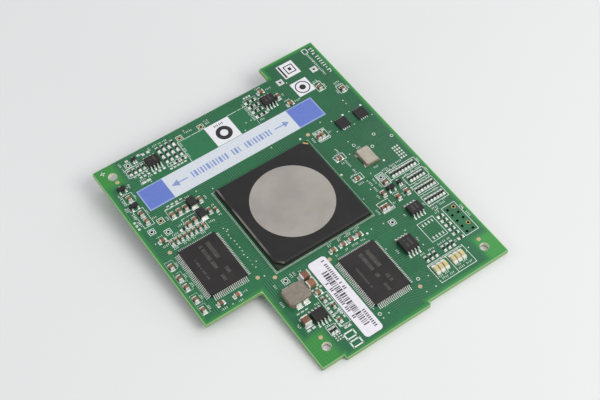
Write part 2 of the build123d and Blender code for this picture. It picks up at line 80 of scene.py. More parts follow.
# Light
def area_lamp(name, place, size, watts, colour):
    """A square lamp at a place in metres that faces the middle of the card."""
    data = bpy.data.lights.new(name, "AREA")
    data.size, data.energy, data.color = size, watts, colour
    lamp = bpy.data.objects.new(name, data)
    lamp.location = place
    lamp.rotation_euler = (-Vector(place)).to_track_quat("-Z", "Y").to_euler()
    bpy.context.scene.collection.objects.link(lamp)


area_lamp("key_lamp", (0.45, -0.7, 0.95), 0.7, 7.6, (1.0, 0.99, 0.97))
area_lamp("fill_lamp", (0.9, 0.25, 0.7), 0.9, 2.3, (0.97, 0.98, 1.0))
area_lamp("left_strip", (-0.85, 0.5, 0.34), 0.28, 1.1, (1.0, 1.0, 1.0))

world = bpy.data.worlds.new("studio")
world.use_nodes = True
world.node_tree.nodes["Background"].inputs["Color"].default_value = (0.93, 0.94, 0.96, 1)
world.node_tree.nodes["Background"].inputs["Strength"].default_value = 0.575
bpy.context.scene.world = world
bpy.context.scene.view_settings.view_transform = "Standard"


# Shader maths
def paint(red, green, blue):
    """A colour as the eye names it, from 0 to 255, as the shader's linear values."""
    def linear(value):
        share = value / 255
        return share / 12.92 if share <= 0.04045 else ((share + 0.055) / 1.055) ** 2.4

    return (linear(red), linear(green), linear(blue), 1.0)


class Value:
    """A shader socket. Sums and products of sockets and numbers add Math nodes."""

    def __init__(self, finish, socket):
        self.finish, self.socket = finish, socket

    def maths(self, operation, *others):
        return self.finish.node("ShaderNodeMath", {"operation": operation}, [self, *others])

    def __add__(self, other):
        return self.maths("ADD", other)

    def __sub__(self, other):
        return self.maths("SUBTRACT", other)

    def __rsub__(self, other):
        return self.maths("MULTIPLY", -1) + other

    def __mul__(self, other):
        return self.maths("MULTIPLY", other)

    def __gt__(self, other):
        return self.maths("GREATER_THAN", other)

    def __lt__(self, other):
        return self.maths("LESS_THAN", other)

    def __abs__(self):
        return self.maths("ABSOLUTE")

    __radd__ = __add__
    __rmul__ = __mul__

    def least(self, other):
        return self.maths("MINIMUM", other)

    def most(self, other):
        return self.maths("MAXIMUM", other)

    def fraction(self):
        return self.maths("FRACT")

    def ramp(self, low=0.3, high=0.7):
        """Goes smoothly from 0 at the low value to 1 at the high one. The defaults suit a noise."""
        settings = {"interpolation_type": "SMOOTHSTEP"}
        return self.finish.node("ShaderNodeMapRange", settings, {0: self, 1: low, 2: high})


class Finish:
    """A procedural material built from named surface values."""

    def __init__(self, name):
        self.material = bpy.data.materials.new(name)
        self.material.use_nodes = True
        self.nodes = self.material.node_tree.nodes
        self.links = self.material.node_tree.links
        self.surface = self.nodes["Principled BSDF"]

    def node(self, kind, settings, inputs, output=0):
        """Adds a node, sets its settings, then fills its sockets with numbers or links."""
        made = self.nodes.new(kind)
        for setting, value in settings.items():
            setattr(made, setting, value)
        filled = inputs.items() if isinstance(inputs, dict) else enumerate(inputs)
        for key, value in filled:
            if isinstance(value, Value):
                self.links.new(value.socket, made.inputs[key])
            else:
                made.inputs[key].default_value = value
        return Value(self, made.outputs[output])

    def place(self):
        """The point on the surface, in millimetres from the board's back left corner."""
        point = self.node("ShaderNodeTexCoord", {}, {}, "Object")
        moved = self.node("ShaderNodeVectorMath", {"operation": "SUBTRACT"}, [point, corner])
        return self.node("ShaderNodeVectorMath", {"operation": "SCALE"}, {0: moved, "Scale": 1 / MM})

    def axes(self, point):
        """The three coordinates of a point."""
        split = self.node("ShaderNodeSeparateXYZ", {}, [point])
        outputs = split.socket.node.outputs
        return [Value(self, outputs[i]) for i in range(3)]

    def noise(self, point, per_mm, detail=2.0, rough=0.5):
        inputs = {"Vector": point, "Scale": per_mm, "Detail": detail, "Roughness": rough}
        return self.node("ShaderNodeTexNoise", {}, inputs)

    def blend(self, share, *colours):
        """A colour between two, which are sockets or red, green and blue, by a share from 0 to 1."""
        first, second = [paint(*c) if isinstance(c, tuple) else c for c in colours]
        return self.node("ShaderNodeMix", {"data_type": "RGBA"}, {0: share, 6: first, 7: second}, 2)

    def bump(self, height, strength, depth_mm):
        settings = {"Height": height, "Strength": strength, "Distance": depth_mm * MM}
        normal = self.node("ShaderNodeBump", {}, settings)
        self.links.new(normal.socket, self.surface.inputs["Normal"])

    def set(self, **values):
        """Sets the surface's sockets, by name with _ for a space, to numbers, colours or links."""
        for name, value in values.items():
            socket = self.surface.inputs[name.replace("_", " ")]
            if isinstance(value, Value):
                self.links.new(value.socket, socket)
            else:
                socket.default_value = value
        return self


# Rectangles on the board that its green mask follows, each a front left and a back right corner
MAIN_BOARD = ((0, -104.75), (95.6, 1.2))
TAB = ((72.6, -20), (95.6, 6.3))
TONGUE = ((29.3, -106.2), (62.5, -90))
NOTCH = ((-5, -110), (21.2, -71.6))
PLAIN_PLANE = ((30.7, -15), (59, -5.2))
BARE_CORNERS = (((-1, -9.2), (7.6, 1)), ((20, -106), (28.8, -93.6)), ((88.6, -106), (97, -95.0)))
SCREW_HOLES = ((5.05, -5.05), (26.8, -99.25), (90.3, -99.25))
SCREW_HOLE_REACH = 2

# The fineness of the board's patterns
PATCHES_PER_MM = 0.11
TRACKS_PER_MM = 1.25
WEAVE_PER_MM = 0.9
PLIES_PER_MM = 4.6


def upright_distance(x, y, low, high):
    """How far a point lies inside a rectangle: more than 0 inside, less than 0 outside."""
    across = (x - low[0]).least(high[0] - x)
    along = (y - low[1]).least(high[1] - y)
    return across.least(along)


def mottled(name, light, dark, per_mm, roughness, metallic=0.0, grain=0.3, depth=0.01):
    """A finish whose colour and gloss drift a little, over a fine grain."""
    finish = Finish(name)
    point = finish.place()
    drift = finish.noise(point, per_mm, 3)
    fine = finish.noise(point, per_mm * 12, 2)
    finish.set(
        Base_Color=finish.blend(drift.ramp(), dark, light),
        Roughness=roughness + (fine - 0.5) * 0.15,
        Metallic=metallic,
    )
    finish.bump(fine, grain, depth)
    return finish.material


def solder_mask():
    """Green mask over copper: tracks and planes, a bare bright rim with a thin painted highlight at the very
    edge, painted shade towards the right and the back, and the laminate's cut edge, with painted shade on
    the walls of the small holes and painted light on the walls of the screw holes.
    """
    finish = Finish("green_solder_mask")
    point = finish.place()
    x, y, z = finish.axes(point)

    rim = upright_distance(x, y, *MAIN_BOARD)
    rim = rim.most(upright_distance(x, y, *TAB))
    rim = rim.most(upright_distance(x, y, *TONGUE))
    rim = rim.least(0 - upright_distance(x, y, *NOTCH))
    bare = 0.75 * (1 - rim.ramp(0.3, 1.9))
    for low, high in BARE_CORNERS:
        bare = bare.most(upright_distance(x, y, low, high).ramp(-1.6, 1.6))

    inputs = {"Vector": point, "Scale": PATCHES_PER_MM}
    cells = finish.node("ShaderNodeTexVoronoi", {"distance": "CHEBYCHEV"}, inputs, "Color")
    heading, density, shade = finish.axes(cells)
    along = x * (heading > 0.45) + y * (heading < 0.45)
    slanted = along + y * (heading > 0.72)
    tracks = abs((slanted * TRACKS_PER_MM).fraction() - 0.5)
    lines = (0.22 - tracks).ramp(0, 0.07)
    plain = upright_distance(x, y, *PLAIN_PLANE).ramp(-0.05, 0.05)
    routed = finish.noise(point, 0.09, 3).ramp(0.42, 0.5) * (density > 0.2) * (1 - plain)
    lines = lines * routed

    drift = finish.noise(point, 0.035, 3)
    copper = finish.blend(drift.ramp(), (26, 99, 65), (38, 117, 74))
    copper = finish.blend(shade * 0.4, copper, (34, 112, 60))
    copper = finish.blend(plain, copper, (40, 120, 77))
    gaps = finish.blend(routed * 0.75, copper, (22, 85, 56))
    green = finish.blend(lines, gaps, (56, 133, 88))
    specks = finish.noise(point, 0.8, 2).ramp(0.6, 0.72) * (1 - plain)
    green = finish.blend(specks * 0.3, green, (22, 70, 52))
    # Painted shade: the green is darkened towards the right and the back of the board.
    painted_shade_gradient = x.ramp(10, 75) * (y + 125).ramp(0, 90)
    green = finish.blend(painted_shade_gradient * 0.42, green, (12, 82, 50))
    strip = finish.blend(x.ramp(30, 80), (44, 133, 55), (48, 146, 60))
    green = finish.blend(bare, green, strip)

    weave_x = abs((x * WEAVE_PER_MM).fraction() - 0.5)
    weave_y = abs((y * WEAVE_PER_MM).fraction() - 0.5)
    weave = weave_x + weave_y
    green = finish.blend(bare * weave * 0.25, green, (104, 186, 96))
    # Painted highlight: a thin pale line along the board's outer edge.
    green = finish.blend(1 - rim.ramp(0.08, 0.3), green, (150, 206, 142))

    normal = finish.node("ShaderNodeNewGeometry", {}, {}, "Normal")
    side = abs(finish.axes(normal)[2]) < 0.5
    plies = abs((z * PLIES_PER_MM).fraction() - 0.5)
    laminate = finish.blend(plies * 1.4, (122, 156, 102), (164, 188, 136))
    bore = (rim > 0.8) * side
    screw_bores = 0
    for hole_x, hole_y in SCREW_HOLES:
        reach = abs(x - hole_x).most(abs(y - hole_y))
        screw_bores = (reach < SCREW_HOLE_REACH) + screw_bores
    # Painted shade and light in the holes: the walls of the small holes are painted near black, and the
    # walls of the three screw holes are painted much paler than bare laminate, as painted light.
    laminate = finish.blend(bore, laminate, (22, 26, 22))
    laminate = finish.blend(bore * screw_bores, laminate, (238, 235, 220))
    finish.set(
        Base_Color=finish.blend(side, green, laminate),
        Roughness=0.36 + side * 0.35 + (finish.noise(point, 1.2, 2) - 0.5) * 0.12,
        Coat_Weight=0.15 * (1 - side),
    )
    relief = lines * 0.6 + finish.noise(point, 0.7, 3) * 0.25 + side * plies
    finish.bump(relief, 0.5, 0.05)
    return finish.material


PRESS_LABEL_PALE = ((18.1, -40), (69.4, 0))
PRESS_LABEL_INSIDE = ((8.75, -24.1), (79.85, -15.5))


def press_label_paper():
    """Pale blue-white paper with a solid blue field at each end, inside a paler edge."""
    finish = Finish("press_label_paper")
    point = finish.place()
    x, y = finish.axes(point)[:2]
    middle = upright_distance(x, y, *PRESS_LABEL_PALE).ramp(-0.1, 0.1)
    inner = upright_distance(x, y, *PRESS_LABEL_INSIDE).ramp(-0.15, 0.15)
    fibre = finish.noise(point, 1.4, 4, 0.7)
    pale = finish.blend(fibre.ramp(), (210, 218, 226), (222, 227, 232))
    blue = finish.blend(fibre.ramp(), (98, 120, 200), (108, 130, 208))
    blue = finish.blend(inner, (156, 172, 222), blue)
    finish.set(Base_Color=finish.blend(middle, blue, pale), Roughness=0.45 + fibre * 0.1)
    finish.bump(fibre, 0.2, 0.02)
    return finish.material


def brown_ceramic():
    """Fired brown ceramic whose shade changes from one chip to the next."""
    finish = Finish("brown_ceramic")
    point = finish.place()
    batch = finish.node("ShaderNodeTexVoronoi", {}, {"Vector": point, "Scale": 0.35}, "Color")
    hue = finish.axes(batch)[0]
    fine = finish.noise(point, 6, 3)
    body = finish.blend(hue, (150, 104, 72), (98, 62, 50))
    finish.set(
        Base_Color=finish.blend(fine.ramp(0.2, 0.8) * 0.5, body, (170, 128, 96)),
        Roughness=0.42 + fine * 0.1,
    )
    finish.bump(fine, 0.3, 0.01)
    return finish.material


def mould_compound(name, light, dark, worn_edge=0.0):
    """Black mould compound: a warm grey bloom over a sandy grain, and a painted highlight on bevels that
    face left and up.
    """
    finish = Finish(name)
    point = finish.place()
    bloom = finish.noise(point, 0.16, 4, 0.6)
    sand = finish.noise(point, 9, 2, 0.8)
    tone = finish.blend(bloom.ramp(), dark, light)
    tone = finish.blend((sand > 0.62) * 0.3, tone, (58, 52, 50))
    normal = finish.node("ShaderNodeNewGeometry", {}, {}, "Normal")
    lean_x, _, lean_z = finish.axes(normal)
    # Painted highlight: bevels that face left and up are painted pale grey, standing in for a lamp's
    # reflection.
    bevel = (lean_x < -0.3) * (lean_z > 0.2) * finish.noise(point, 0.12, 2).ramp(0.3, 0.6)
    finish.set(
        Base_Color=finish.blend(bevel * worn_edge, tone, (150, 140, 136)),
        Roughness=0.46 + sand * 0.15,
    )
    finish.bump(sand, 0.35, 0.015)
    return finish.material


def spreader_metal():
    """Matt nickel plate, faintly blotched, with a warm stain or two."""
    finish = Finish("spreader_metal")
    point = finish.place()
    cloud = finish.noise(point, 0.09, 4, 0.55)
    stain = finish.noise(point, 0.16, 3, 0.5).ramp(0.58, 0.75)
    scuff = finish.noise(point, 3.5, 4, 0.7)
    nickel = finish.blend(cloud.ramp(), (164, 158, 152), (177, 171, 164))
    nickel = finish.blend(stain * 0.35, nickel, (182, 160, 138))
    finish.set(Base_Color=nickel, Metallic=0.25, Roughness=0.42 + scuff * 0.15)
    finish.bump(scuff, 0.15, 0.01)
    return finish.material


# Material, light and dark colour, patches per millimetre, roughness, then metallic, grain and depth if given
MOTTLED_FINISHES = {
    "connector_plastic": ("connector_plastic", (44, 43, 44), (34, 33, 34), 0.4, 0.42),
    "gold_plate": ("gold_plate", (222, 182, 104), (206, 160, 84), 0.8, 0.26, 0.9),
    "white_label": ("white_label_paper", (243, 240, 246), (235, 232, 240), 0.9, 0.5, 0.0, 0.15),
    "solder": ("bright_solder", (240, 242, 238), (206, 208, 204), 1.1, 0.3, 0.35),
    "package_laminate": ("package_laminate", (44, 46, 36), (32, 34, 27), 0.7, 0.4),
    "tinned_lead": ("tinned_lead", (238, 238, 232), (206, 206, 200), 0.9, 0.28, 0.4),
    "lid_metal": ("lid_metal", (192, 186, 170), (178, 171, 154), 0.35, 0.34, 0.35),
    "ceramic_base": ("ceramic_base", (152, 140, 120), (128, 116, 98), 0.8, 0.5),
    "ferrite": ("ferrite", (146, 136, 124), (130, 120, 108), 0.8, 0.6, 0.0, 0.5, 0.03),
    "tantalum_mould": ("tantalum_mould", (46, 43, 44), (34, 32, 33), 0.9, 0.45),
    "resistor_black": ("resistor_glaze", (40, 38, 40), (24, 23, 25), 1.3, 0.3),
    "led_base": ("led_base", (244, 242, 234), (230, 227, 216), 1.0, 0.4),
    "led_lens": ("led_lens", (222, 208, 158), (206, 190, 136), 1.0, 0.2),
    "silk_ink": ("white_silk_ink", (240, 245, 240), (214, 226, 218), 1.6, 0.6, 0.0, 0.2),
    "label_white": ("bright_label_ink", (240, 240, 243), (231, 231, 236), 0.9, 0.6, 0.0, 0.1),
    "copper": ("bare_copper", (212, 190, 154), (196, 170, 136), 0.9, 0.45, 0.15),
    "gold_mark": ("gold_mark", (230, 196, 128), (212, 174, 104), 0.9, 0.4, 0.2),
    # Painted shade standing for the holes in the tinned test squares
    "hole_shadow": ("dark_hole", (26, 32, 26), (16, 20, 16), 1.0, 0.8),
    "blue_ink": ("blue_label_ink", (132, 150, 206), (142, 160, 210), 0.8, 0.5, 0.0, 0.1),
    "grey_ink": ("grey_label_ink", (64, 58, 66), (84, 78, 88), 0.8, 0.5, 0.0, 0.1),
    "dark_ink": ("dark_print_ink", (46, 44, 48), (34, 32, 36), 0.9, 0.6, 0.0, 0.1),
    "laser_mark": ("laser_mark", (112, 108, 102), (88, 84, 80), 0.8, 0.6, 0.0, 0.2),
}
materials = {
    "solder_mask": solder_mask(),
    "blue_label": press_label_paper(),
    "mould_compound": mould_compound("mould_compound", (37, 33, 32), (27, 24, 25)),
    # Only the controller's cap gets the painted highlight on its left bevels.
    "cap_compound": mould_compound("cap_compound", (27, 24, 24), (17, 15, 16), worn_edge=0.75),
    "spreader_metal": spreader_metal(),
    "brown_ceramic": brown_ceramic(),
}
for key, (name, light, dark, *numbers) in MOTTLED_FINISHES.items():
    materials[key] = mottled(name, light, dark, *numbers)

record_slots = {row["node"]: row["material_slot"] for row in frame["record"]["subparts"]}
for name, node in frame["nodes"].items():
    node.data.materials.clear()
    finish_name = "cap_compound" if name == "controller_cap" else record_slots[name]
    node.data.materials.append(materials[finish_name])


# Modelling
def clear_selection():
    bpy.ops.object.select_all(action="DESELECT")


def enter(mode):
    bpy.ops.object.mode_set(mode=mode)


def settle(name, finish):
    """Names the piece just made, puts its place into its mesh and gives it a finish."""
    piece = bpy.context.object
    piece.name = piece.data.name = name
    bpy.ops.object.transform_apply(location=True, rotation=True, scale=True)
    piece.data.materials.append(materials[finish])
    return piece


def pick_faces(piece, test):
    """Goes into edit mode with only those faces selected that pass the test."""
    enter("EDIT")
    bpy.ops.mesh.select_mode(type="FACE")
    bpy.ops.mesh.select_all(action="DESELECT")
    enter("OBJECT")
    for face in piece.data.polygons:
        face.select = test(face)
    enter("EDIT")


def faces_up(face):
    return face.normal.z > 0.9


def block(name, finish, size, middle):
    """A block of a size in millimetres, centred on a place in metres."""
    clear_selection()
    bpy.ops.mesh.primitive_cube_add(size=1, location=middle, scale=Vector(size) * MM)
    return settle(name, finish)


def soften(piece, radius, segments=2):
    """Rounds every edge of a piece."""
    enter("EDIT")
    bpy.ops.mesh.select_all(action="SELECT")
    bpy.ops.mesh.bevel(offset=radius * MM, segments=segments, affect="EDGES")
    enter("OBJECT")
    return piece


def pull_top(piece, share):
    """Draws the upper faces of a piece in to a share of their size."""
    pick_faces(piece, faces_up)
    bpy.ops.transform.resize(value=(share, share, 1))
    enter("OBJECT")
    return piece


def spread(model, places, name):
    """Copies a model to each place, given as point, turn and stretch, and joins the copies."""
    clear_selection()
    copies = []
    for point, turn, stretch in places:
        copy = bpy.data.objects.new(name, model.data.copy())
        copy.data.transform(
            Matrix.Translation(point) @ Matrix.Rotation(turn, 4, "Z") @ Matrix.Diagonal((*stretch, 1))
        )
        bpy.context.scene.collection.objects.link(copy)
        copy.select_set(True)
        copies.append(copy)
    bpy.data.objects.remove(model)
    bpy.context.view_layer.objects.active = copies[0]
    bpy.ops.object.join()
    piece = bpy.context.object
    piece.name = piece.data.name = name
    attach(piece, "root")
    return piece


def solids_of(node):
    """The lowest and highest corner of each separate solid of a CAD node, in metres."""
    mesh = bmesh.new()
    mesh.from_mesh(frame["nodes"][node].data)
    bmesh.ops.remove_doubles(mesh, verts=mesh.verts, dist=1e-7)
    found, seen = [], set()
    for start in mesh.verts:
        if start in seen:
            continue
        waiting, group = [start], []
        seen.add(start)
        while waiting:
            vertex = waiting.pop()
            group.append(vertex.co.copy())
            for edge in vertex.link_edges:
                other = edge.other_vert(vertex)
                if other not in seen:
                    seen.add(other)
                    waiting.append(other)
        low = Vector([min(point[i] for point in group) for i in range(3)])
        high = Vector([max(point[i] for point in group) for i in range(3)])
        found.append((low, high))
    mesh.free()
    return found


# Tapered flat shapes: ink, pads and label print
INK_HEIGHT = 0.03
PAD_HEIGHT = 0.06
PRINT_HEIGHT = 0.02
LASER_MARK_HEIGHT = 0.012


def flat_model(finish, height, share=0.9):
    """A low plate, 1 mm square at its foot and drawn in at its top, standing on the board."""
    model = block("plate", finish, (1, 1, height), Vector((0, 0, height / 2)) * MM)
    return pull_top(model, share)


def line(start, end, width):
    """A place for a flat model stretched from one point on the board to another."""
    run = Vector(end) - Vector(start)
    middle = (Vector(start) + Vector(end)) / 2
    return at(*middle), math.atan2(run.y, run.x), (run.length + width, width, 1)


def outline(low, high, width):
    """Places for the four lines round a rectangle."""
    (left, front), (right, back) = low, high
    corners = [(left, front), (right, front), (right, back), (left, back)]
    return [line(corners[i - 1], corners[i], width) for i in range(4)]


def plate(middle, size, turn=0.0, level=0.0):
    """A place for a flat model of a given size."""
    return at(*middle, level), turn, (*size, 1)


def filling(low, high):
    """A place for a flat model that fills a rectangle on the board."""
    middle = ((low[0] + high[0]) / 2, (low[1] + high[1]) / 2)
    return plate(middle, (high[0] - low[0], high[1] - low[1]))


def lifted(places, level):
    """The same places, raised by a level in millimetres."""
    return [(point + Vector((0, 0, level * MM)), turn, stretch) for point, turn, stretch in places]


def around(middle, half_x, half_y):
    """The corners of a rectangle about its middle."""
    return (middle[0] - half_x, middle[1] - half_y), (middle[0] + half_x, middle[1] + half_y)


def board_place(point):
    """A point in metres as a place on the board in millimetres."""
    place = (point - corner) / MM
    return place.x, place.y


def board_rectangle(low, high):
    """A solid's corners as places on the board."""
    return board_place(low), board_place(high)


def board_level(height):
    """A height in metres as millimetres above the board."""
    return (height - corner.z) / MM


def foot_of(low, high):
    """The middle of a solid's underside, in metres."""
    return Vector(((low.x + high.x) / 2, (low.y + high.y) / 2, low.z))


# What already stands on the board, so that pads and printed marks keep clear of it
PRINT_LOW, PRINT_HIGH = (0.6, -104.3), (95.0, -0.5)
NOTCH_RIGHT, NOTCH_BACK = 21.8, -71.0
CLEARANCE = 0.15
SMALL_CLEARANCE = 0.1
occupied = []


def occupy(low, high, margin=CLEARANCE):
    """Keeps a rectangle and a margin round it free of later pads and marks."""
    occupied.append((low[0] - margin, low[1] - margin, high[0] + margin, high[1] + margin))


def is_free(low, high):
    """Whether a rectangle lies on the board, clear of its rim, the notch and all that is occupied."""
    for left, front, right, back in occupied:
        if low[0] < right and high[0] > left and low[1] < back and high[1] > front:
            return False
    across = PRINT_LOW[0] < low[0] and high[0] < PRINT_HIGH[0]
    along = PRINT_LOW[1] < low[1] and high[1] < PRINT_HIGH[1]
    return across and along and not (low[0] < NOTCH_RIGHT and low[1] < NOTCH_BACK)


NOT_ON_TOP = ("circuit_board", "connector_housing", "connector_contacts", "underside_capacitors")
for node_name in frame["nodes"]:
    if node_name not in NOT_ON_TOP:
        for low, high in solids_of(node_name):
            occupy(*board_rectangle(low, high))

pads, fillets = [], []


# Chip resistors and capacitors: a rounded body between two metal ends, on pads with solder ramps
SMALL_END = 0.36
ENDS_PAST_BODY = 1.2
BODY_SHARE = 0.96
BODY_ROUNDING = 0.06
END_ROUNDING = 0.09
PAD_BEYOND = 0.55
PAD_MARGIN = 0.16
RAMP_LENGTH = 0.3
RAMP_WIDTH_SHARE = 0.86
RAMP_HEIGHT_SHARE = 0.62
RAMP_TOP = (0.12, 0.8)


def chip_places(node_names):
    """Middle, turn and length, width and height of each chip in some nodes."""
    places = []
    for node_name in node_names:
        for low, high in solids_of(node_name):
            size = (high - low) / MM
            turned = size.y > size.x
            length, width = (size.y, size.x) if turned else (size.x, size.y)
            places.append((foot_of(low, high), math.pi / 2 if turned else 0.0, length, width, size.z))
    return places


def dress_chips(name, places, end, body_finish, replaced, hanging):
    """Replaces plain chips with rounded bodies, metal ends, pads and solder ramps."""
    length, width, height = places[0][2:]
    centre = (0, 0, height / 2 * MM)
    body_size = (length - ENDS_PAST_BODY * end, width * BODY_SHARE, height * BODY_SHARE)
    body = soften(block("body", body_finish, body_size, centre), BODY_ROUNDING)
    cap = soften(block("cap", "tinned_lead", (end, width, height), centre), END_ROUNDING)
    bodies = [(foot, turn, (1, 1, 1)) for foot, turn, *_ in places]
    caps = []
    for foot, turn, length, width, height in places:
        along = Vector((math.cos(turn), math.sin(turn), 0))
        for side in (-1, 1):
            caps.append((foot + along * side * (length - end) / 2 * MM, turn, (1, 1, 1)))
            if hanging:
                continue
            reach = end + PAD_BEYOND
            middle = foot + along * side * (length / 2 + PAD_BEYOND - reach / 2) * MM
            pads.append((middle, turn, (reach, width + 2 * PAD_MARGIN, 1)))
            occupy(*around(board_place(middle), reach / 2, reach / 2))
            rise = foot + along * side * length / 2 * MM
            ramp_size = (RAMP_LENGTH, width * RAMP_WIDTH_SHARE, height * RAMP_HEIGHT_SHARE)
            fillets.append((rise, turn + (0 if side > 0 else math.pi), ramp_size))
    piece = spread(body, bodies, name + "_bodies")
    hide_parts(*replaced)
    spread(cap, caps, name + "_end_caps")


RESISTORS = (
    "sense_resistors_left", "sense_resistors_right", "termination_resistors", "led_resistors",
    "strap_resistors",
)
# Piece, the nodes it stands for, the finish of its bodies, and whether it hangs under the board
SMALL_CHIPS = (
    ("small_resistor", RESISTORS, "resistor_black", False),
    ("small_capacitor", ("supply_capacitors",), "brown_ceramic", False),
    ("underside_capacitor", ("underside_capacitors",), "brown_ceramic", True),
)
for name, nodes, body_finish, hanging in SMALL_CHIPS:
    dress_chips(name, chip_places(nodes), SMALL_END, body_finish, nodes, hanging)


SAME_PLACE = 1e-6


def ended_places(block_node, end_node):
    """Places of chips whose ceramic block and metal ends are separate solids."""
    end_low, end_high = solids_of(end_node)[0]
    end = min((end_high - end_low).x, (end_high - end_low).y) / MM
    places = []
    for low, high in solids_of(block_node):
        size = (high - low) / MM
        foot = foot_of(low, high)
        for end_low, end_high in solids_of(end_node):
            beside_x = abs(end_low.x - high.x) < SAME_PLACE and abs(end_low.y - low.y) < SAME_PLACE
            beside_y = abs(end_low.y - high.y) < SAME_PLACE and abs(end_low.x - low.x) < SAME_PLACE
            if beside_x:
                places.append((foot, 0.0, size.x + 2 * end, size.y, size.z))
            elif beside_y:
                places.append((foot, math.pi / 2, size.y + 2 * end, size.x, size.z))
    return places, end


for group in ("bulk", "filter", "memory"):
    nodes = [group + "_capacitors", group + "_capacitor_ends"]
    places, end = ended_places(*nodes)
    dress_chips(group + "_capacitor", places, end, "brown_ceramic", nodes, False)


# Pads beyond the toes of every lead
LEAD_FOOT_SHARE = 0.62
FAR_SIDE_SHARE = 0.5


def lead_pads(node_name, beyond, margin):
    """Pads under the feet of a chip's leads, which show less at its back and its right."""
    chip_low, chip_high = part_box(node_name.replace("_leads", "").replace("_pads", ""))
    for low, high in solids_of(node_name):
        size = (high - low) / MM
        middle = (low + high) / 2
        far_side = middle.x > chip_high.x or middle.y > chip_high.y
        bare = beyond * (FAR_SIDE_SHARE if far_side else 1)
        axis = 0 if middle.x < chip_low.x or middle.x > chip_high.x else 1
        side = 1 if middle[axis] > (chip_low[axis] + chip_high[axis]) / 2 else -1
        reach, width = size[axis] * LEAD_FOOT_SHARE + bare, size[1 - axis] + margin
        point = middle.copy()
        point[axis] = (high if side > 0 else low)[axis] + side * (bare - reach / 2) * MM
        point.z = board_high.z
        pads.append((point, axis * math.pi / 2, (reach, width, 1)))
        half_x, half_y = (width / 2, reach / 2) if axis else (reach / 2, width / 2)
        occupy(*around(board_place(point), half_x, half_y))


# Chips, the word for their leads, how far the pads show beyond them, and how much wider they are
LEAD_PADS = (
    (("memory_chip_left", "memory_chip_right"), "_leads", 0.62, -0.05),
    (("power_chip_left", "power_chip_right"), "_leads", 0.55, 0.2),
    (("identity_chip", "regulator_chip", "flash_chip"), "_leads", 0.55, 0.2),
    (("flat_chip_inner", "flat_chip_outer"), "_pads", 0.45, 0.1),
)
for chips, ending, beyond, margin in LEAD_PADS:
    for chip in chips:
        lead_pads(chip + ending, beyond, margin)


def pads_round(node_name, beyond_x, beyond_y):
    """Pads a little larger than the foot of each solid."""
    for low, high in solids_of(node_name):
        (left, front), (right, back) = board_rectangle(low, high)
        spot = (left - beyond_x, front - beyond_y), (right + beyond_x, back + beyond_y)
        pads.append(filling(*spot))
        occupy(*spot)


# Node, and how far the pads show beyond its feet across and along the board
ROUND_PADS = (
    ("transistor_leads", 0.15, 0.3),
    ("inductor_straps", 0.2, 0.45),
    ("tantalum_straps", 0.15, 0.45),
    ("led_bases", -0.05, 0.45),
)
for node_name, beyond_x, beyond_y in ROUND_PADS:
    pads_round(node_name, beyond_x, beyond_y)

OSCILLATOR_PAD = (1.7, 1.3)
OSCILLATOR_INSET = (0.35, 0.95)
oscillator_low, oscillator_high = board_rectangle(*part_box("oscillator_base"))
for x in (oscillator_low[0] + OSCILLATOR_INSET[0], oscillator_high[0] - OSCILLATOR_INSET[0]):
    for y in (oscillator_low[1] + OSCILLATOR_INSET[1], oscillator_high[1] - OSCILLATOR_INSET[1]):
        pads.append(plate((x, y), OSCILLATOR_PAD))

# Pads of the parts that are not fitted, and of the tinned test squares
EMPTY_FOOTPRINT = ((77.4, -88.2), (83.8, -79.9))
EMPTY_COLUMNS = (78.8, 80.05, 81.35, 82.65)
EMPTY_ROWS = (-81.2, -87.0)
EMPTY_PAD = (0.5, 1.1)
for column in EMPTY_COLUMNS:
    for row in EMPTY_ROWS:
        pads.append(plate((column, row), EMPTY_PAD))
occupy(*EMPTY_FOOTPRINT)
TEST_SQUARES = ((75.35, -3.3), (88.95, -5.1))
TEST_SQUARE = (2.5, 2.5)
TEST_CLEARANCE = 1.3
for place in TEST_SQUARES:
    pads.append(plate(place, TEST_SQUARE))
    occupy(*around(place, TEST_CLEARANCE, TEST_CLEARANCE))
GRID_FIRST = (90.3, -50.0)
GRID_PITCH = (1.0, 1.25)
GRID_PAD = (0.6, 0.75)
GRID_ZONE = ((89.8, -56), (93, -49.2))
GRID_COLUMNS, GRID_ROWS = 3, 5
for column in range(GRID_COLUMNS):
    for row in range(GRID_ROWS):
        place = (GRID_FIRST[0] + column * GRID_PITCH[0], GRID_FIRST[1] - row * GRID_PITCH[1])
        pads.append(plate(place, GRID_PAD))
occupy(*GRID_ZONE)
